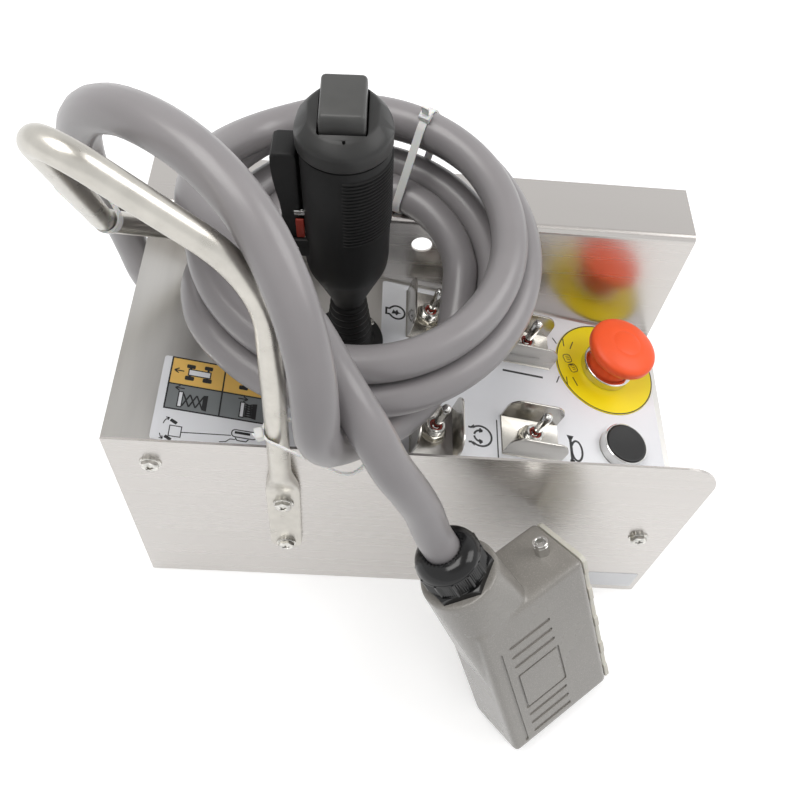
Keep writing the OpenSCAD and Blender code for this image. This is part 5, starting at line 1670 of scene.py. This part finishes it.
class LIFTBOX_OT_plug(bpy.types.Operator):
    """The plug: painted hood, pale contact insert with its contacts, and bright locking pegs"""
    bl_idname = "liftbox.plug"
    bl_label = "Plug"

    def execute(self, context):
        place = at_plug()
        add_piece("painted_hood", moved(hood_mesh(), place), "housing", hood_paint(),
                  ["plug_hood"])
        insert = (place @ Matrix.Translation((60, 0, 21.5))
                  @ Matrix.Rotation(math.radians(-90), 4, "X"))
        body = to_mesh(bevel_sharp(block((104, 34, 31), (0, 0, 65.5)), 1.0, 30, 2), "insert")
        rim = []
        for side in (1, -1):
            edge = [(-59, 17.4), (-57, 20.5), (-46, 20.5), (-45, 19.4), (-33, 19.4), (-32, 20.5),
                    (-22, 20.5), (-21, 19.4), (-5, 19.4), (-4, 20.5), (4, 20.5), (5, 19.4),
                    (21, 19.4), (22, 20.5), (32, 20.5), (33, 19.4), (45, 19.4), (46, 20.5),
                    (57, 20.5), (59, 17.4)]
            rim += [(side * a, side * b) for a, b in edge]
        plate = to_mesh(bevel_sharp(prism(rim[::-1], 76, 79), 0.35, 30, 2), "rim")
        body = combined(body, plate, "UNION")
        chamber = to_mesh(lathe([(0, 73), (2, 73), (2, 83), (0, 83)], 20), "chamber",
                          Matrix.Translation((-46, -8, 0)))
        row = {"Count": 12, "Step": Vector((8.36 * MM, 0, 0))}
        ivory = insert_ivory()
        holes = repeated("chambers", "row", chamber, row, ivory)
        other = holes.copy()
        body = combined(body, holes)
        body = combined(body, moved(other, Matrix.Translation((0, 16, 0))))
        add_piece("ivory_insert", moved(body, insert), "housing", ivory,
                  ["plug_insert"])
        contact = to_mesh(lathe([(0, 72.5), (1.25, 72.5), (1.25, 77.6), (0.9, 78.2), (0, 78.4)],
                                16), "contact", Matrix.Translation((-46, -8, 0)))
        pins = repeated("contacts", "row", contact, row, bright_steel())
        other = moved(pins.copy(), Matrix.Translation((0, 16, 0)))
        add_piece("plug_contacts", moved(joined("plug_contacts", [pins, other]), insert), "housing",
                  bright_steel())
        peg = [(0, -0.6), (4.5, -0.6), (4.5, 6.6), (4.3, 6.8), (4.3, 7.2), (4.5, 7.4), (4.5, 8.6),
               (4.1, 9.0), (3.2, 9.0), (2.9, 8.7), (2.9, 5.0), (1.7, 5.0), (1.7, 6.4), (1.4, 6.7),
               (0, 6.7)]
        pegs = []
        for x, turn in ((0, -90), (120, 90)):
            pegs.append(to_mesh(lathe(peg, 48), "peg", place @ Matrix.Translation((x, 64, 21.5))
                                @ Matrix.Rotation(math.radians(turn), 4, "Y")))
        add_piece("locking_pegs", joined("locking_pegs", pegs), "housing",
                  bright_steel(), ["plug_pegs"])
        return {"FINISHED"}


# Cable ties

def strap(name, circles, place, width, toward, tail):
    """Cable tie round circles (x, y, radius) in a frame's XY plane, its head at an angle."""
    points, thickness = [], 1.1
    for x, y, radius in circles:
        points += [(round(x + radius * math.cos(math.tau * k / 48), 4),
                    round(y + radius * math.sin(math.tau * k / 48), 4)) for k in range(48)]
    outline = [Vector(p) for p in hull_outline(points)]
    count = len(outline)
    rings, normals = [], []
    for k, point in enumerate(outline):
        way = (outline[(k + 1) % count] - outline[k - 1]).normalized()
        normal = Vector((way.y, -way.x))
        normals.append(normal)
        outer = point + normal * thickness
        rings.append([(*point, -width / 2), (*point, width / 2), (*outer, width / 2),
                      (*outer, -width / 2)])
    band = to_mesh(loft(rings, True), name)
    aim = Vector((math.cos(math.radians(toward)), math.sin(math.radians(toward))))
    best = max(range(count), key=lambda k: outline[k].dot(aim))
    normal = normals[best]
    along = Vector((-normal.y, normal.x))
    seat = outline[best]
    turn = Matrix(((along.x, normal.x, 0, seat.x), (along.y, normal.y, 0, seat.y), (0, 0, -1, 0),
                   (0, 0, 0, 1)))
    head = to_mesh(bevel_sharp(block((6.0, 4.6, width + 2.0), (0, 2.5, 0)), 0.7, 30, 3), "head",
                   turn)
    half = width / 2 - 0.2
    loops = [[(t, b, -half), (t, b, half), (t + 1.0, b, half), (t + 1.0, b, -half)]
             for t, b in ((-0.5, 3.0), (-0.5, 3 + tail * 0.5), (-0.2, 3 + tail))]
    end = to_mesh(loft(loops), "tail", turn)
    return moved(joined(name, [band, head, end]), place)


def frame_at(origin, normal, toward):
    """Frame at a point with Z along a normal and X as near as can be to a direction."""
    z = Vector(normal).normalized()
    x = Vector(toward)
    x = (x - z * x.dot(z)).normalized()
    y = z.cross(x)
    return Matrix(((x.x, y.x, z.x, origin[0]), (x.y, y.y, z.y, origin[1]),
                   (x.z, y.z, z.z, origin[2]), (0, 0, 0, 1)))


def strap_round(name, first, second, normal, width, toward, tail):
    """Cable tie round two round pieces, each given by a point on its axis and its radius."""
    (a, ra), (b, rb) = first, second
    a, b = Vector(a), Vector(b)
    place = frame_at(a, normal, b - a)
    far = place.inverted() @ b
    return strap(name, [(0, 0, ra + 0.2), (far.x, far.y, rb + 0.2)], place, width, toward, tail)


def coil_section(angle):
    """Frame of a section through the coil, with X outwards and Y up."""
    tilt = Matrix.Rotation(math.radians(COIL_TILT), 4, "X")
    turn = Matrix.Rotation(math.radians(angle), 4, "Z") @ Matrix.Rotation(math.radians(90), 4, "X")
    return Matrix.Translation(COIL_PLACE) @ tilt @ turn


class LIFTBOX_OT_ties(bpy.types.Operator):
    """Natural nylon cable ties on the handle and round the coil"""
    bl_idname = "liftbox.ties"
    bl_label = "Cable Ties"

    def execute(self, context):
        width = context.scene.lift_box_sizes.tie_width / MM
        nylon = tie_nylon()
        turns = [(*turn, CABLE_RADIUS + 0.2)
                 for turn in (TOP_TURN, MIDDLE_TURN, LOW_TURN, INNER_TURN)]
        ties = [
            strap("coil_tie", turns, coil_section(64.5), width, 104, 9.0),
            strap_round("leg_tie", ((-75, -82.8, 207), BAR_RADIUS),
                        ((-42, -100, 227), CABLE_RADIUS), (0.14, 0.29, -0.95), width, 150, 3.0),
            strap_round("corner_tie", ((-168.5, 12, 250), BAR_RADIUS),
                        ((-183, 46, 241), CABLE_RADIUS), (0.2, 0.6, -0.77), width, 20, 2.0),
        ]
        for tie in ties:
            add_piece(tie.name, tie, "housing", nylon)
        return {"FINISHED"}


# Works inside the housing

class LIFTBOX_OT_works(bpy.types.Operator):
    """Finishes of the circuit board and its standoffs inside the housing"""
    bl_idname = "liftbox.works"
    bl_label = "Inner Works"

    def execute(self, context):
        dress("circuit_board", board_green())
        dress("board_standoffs", zinc_steel())
        return {"FINISHED"}


# Stage

FLOOR_REACH, FLOOR_DROP = 6000, 0.2
GLOW_NEAR, GLOW_FAR = (0.5, 0.35), (1.8, 0.75)
ROOM_COLOUR, ROOM_STRENGTH = (0.97, 0.98, 1.0, 1), 0.42
CEILING_FROM, CEILING_TO, CEILING_GREY = 0.62, 0.88, (0.66, 0.65, 0.64, 1)
LIGHT_TARGET, LIGHT_SIZE = (0, 0, 0.1), 0.9
FAR_SHARE = 0.7


def stage_light(name, place, power, colour):
    """Square soft light that looks at the box."""
    data = bpy.data.lights.new(name, "AREA")
    data.shape, data.size = "SQUARE", LIGHT_SIZE
    data.energy, data.color = power, colour
    light = bpy.data.objects.new(name, data)
    bpy.context.scene.collection.objects.link(light)
    away = Vector(place) - Vector(LIGHT_TARGET)
    turn = away.to_track_quat("Z", "Y").to_matrix().to_4x4()
    light.matrix_world = Matrix.Translation(place) @ turn


def seen_rays(tree):
    """Output that is 1 for rays of the camera, a reflection or glass, and 0 for the light's own."""
    path = tree.nodes.new("ShaderNodeLightPath")
    total = path.outputs["Is Camera Ray"]
    for kind in ("Is Glossy Ray", "Is Transmission Ray"):
        add = tree.nodes.new("ShaderNodeMath")
        add.operation, add.use_clamp = "ADD", True
        tree.links.new(total, add.inputs[0])
        tree.links.new(path.outputs[kind], add.inputs[1])
        total = add.outputs[0]
    return total


def choose_when_seen(tree, unseen, seen, output):
    """One shader for the light and another for the rays that are seen."""
    choose = tree.nodes.new("ShaderNodeMixShader")
    tree.links.new(seen_rays(tree), choose.inputs[0])
    tree.links.new(unseen, choose.inputs[1])
    tree.links.new(seen, choose.inputs[2])
    tree.links.new(choose.outputs[0], tree.nodes[output].inputs["Surface"])


def floor_paper(colour):
    """Pale paper that glows more further out, so that it runs into the white behind it."""
    paper = bpy.data.materials.new("floor_paper")
    paper.use_nodes = True
    nodes, links = paper.node_tree.nodes, paper.node_tree.links
    shader = nodes["Principled BSDF"]
    shader.inputs["Base Color"].default_value = (*colour, 1)
    shader.inputs["Roughness"].default_value = 0.9
    glow = nodes.new("ShaderNodeEmission")
    glow.inputs["Color"].default_value = (1, 1, 1, 1)
    where = nodes.new("ShaderNodeTexCoord")
    distance = nodes.new("ShaderNodeVectorMath")
    distance.operation = "LENGTH"
    fade = nodes.new("ShaderNodeMapRange")
    fade.inputs["From Min"].default_value, fade.inputs["To Min"].default_value = GLOW_NEAR
    fade.inputs["From Max"].default_value, fade.inputs["To Max"].default_value = GLOW_FAR
    links.new(where.outputs["Object"], distance.inputs[0])
    links.new(distance.outputs["Value"], fade.inputs["Value"])
    links.new(fade.outputs["Result"], glow.inputs["Strength"])
    both = nodes.new("ShaderNodeAddShader")
    links.new(shader.outputs[0], both.inputs[0])
    links.new(glow.outputs[0], both.inputs[1])
    choose_when_seen(paper.node_tree, shader.outputs[0], both.outputs[0], "Material Output")
    return paper


def studio_world():
    """Even room light, seen as white all round with a grey ceiling, which only the metal shows."""
    world = bpy.data.worlds.new("studio")
    world.use_nodes = True
    nodes, links = world.node_tree.nodes, world.node_tree.links
    room = nodes["Background"]
    room.inputs["Color"].default_value = ROOM_COLOUR
    room.inputs["Strength"].default_value = ROOM_STRENGTH
    backdrop = nodes.new("ShaderNodeBackground")
    backdrop.inputs["Strength"].default_value = 1.0
    where = nodes.new("ShaderNodeTexCoord")
    height = nodes.new("ShaderNodeSeparateXYZ")
    ceiling = nodes.new("ShaderNodeValToRGB")
    low, high = ceiling.color_ramp.elements
    low.position, high.position = CEILING_FROM, CEILING_TO
    low.color, high.color = (1, 1, 1, 1), CEILING_GREY
    links.new(where.outputs["Generated"], height.inputs[0])
    links.new(height.outputs["Z"], ceiling.inputs["Fac"])
    links.new(ceiling.outputs["Color"], backdrop.inputs["Color"])
    choose_when_seen(world.node_tree, room.outputs[0], backdrop.outputs[0], "World Output")
    return world


class LIFTBOX_OT_stage(bpy.types.Operator):
    """Plain pale floor, a pale world and soft studio light"""
    bl_idname = "liftbox.stage"
    bl_label = "Stage"

    def execute(self, context):
        scene = context.scene
        look = scene.lift_box_stage
        scene.view_settings.view_transform = "Standard"
        bm = bmesh.new()
        bmesh.ops.create_grid(bm, x_segments=1, y_segments=1, size=FLOOR_REACH)
        mesh = to_mesh(bm, "floor", Matrix.Translation((0, 0, -FLOOR_DROP)))
        mesh.materials.append(floor_paper(look.floor))
        floor = bpy.data.objects.new("floor", mesh)
        scene.collection.objects.link(floor)
        scene.world = studio_world()
        stage_light("key_light", (-0.5, -0.15, 1.6), look.key, (1.0, 0.99, 0.97))
        stage_light("far_light", (1.05, 0.05, 1.3), look.key * FAR_SHARE, (1.0, 0.99, 0.98))
        return {"FINISHED"}


# Panel and registration

class LIFTBOX_PT_panel(bpy.types.Panel):
    """Lists what dresses the control box"""
    bl_idname = "LIFTBOX_PT_panel"
    bl_label = "Control Box"
    bl_space_type = "VIEW_3D"
    bl_region_type = "UI"
    bl_category = "Control Box"

    def draw(self, context):
        layout = self.layout
        for group in (context.scene.lift_box_colours, context.scene.lift_box_sizes,
                      context.scene.lift_box_stage):
            for name in group.__annotations__:
                layout.prop(group, name)
        for operator in OPERATORS:
            layout.operator(operator.bl_idname)


OPERATORS = (
    LIFTBOX_OT_camera, LIFTBOX_OT_cable, LIFTBOX_OT_housing, LIFTBOX_OT_handle, LIFTBOX_OT_screws,
    LIFTBOX_OT_films, LIFTBOX_OT_switches, LIFTBOX_OT_stop, LIFTBOX_OT_horn, LIFTBOX_OT_joystick,
    LIFTBOX_OT_glands, LIFTBOX_OT_plug, LIFTBOX_OT_ties, LIFTBOX_OT_works, LIFTBOX_OT_stage,
)
CLASSES = (LiftBoxColours, LiftBoxSizes, LiftBoxStage) + OPERATORS + (LIFTBOX_PT_panel,)


def register():
    """Adds the classes, and their settings to the scene."""
    for one in CLASSES:
        bpy.utils.register_class(one)
    bpy.types.Scene.lift_box_colours = bpy.props.PointerProperty(type=LiftBoxColours)
    bpy.types.Scene.lift_box_sizes = bpy.props.PointerProperty(type=LiftBoxSizes)
    bpy.types.Scene.lift_box_stage = bpy.props.PointerProperty(type=LiftBoxStage)


def unregister():
    """Takes the settings and the classes away again."""
    for name in ("lift_box_colours", "lift_box_sizes", "lift_box_stage"):
        delattr(bpy.types.Scene, name)
    for one in reversed(CLASSES):
        bpy.utils.unregister_class(one)


def main():
    """Registers the add-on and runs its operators."""
    register()
    for operator in OPERATORS:
        group, name = operator.bl_idname.split(".")
        getattr(getattr(bpy.ops, group), name)()


if __name__ == "__main__":
    main()
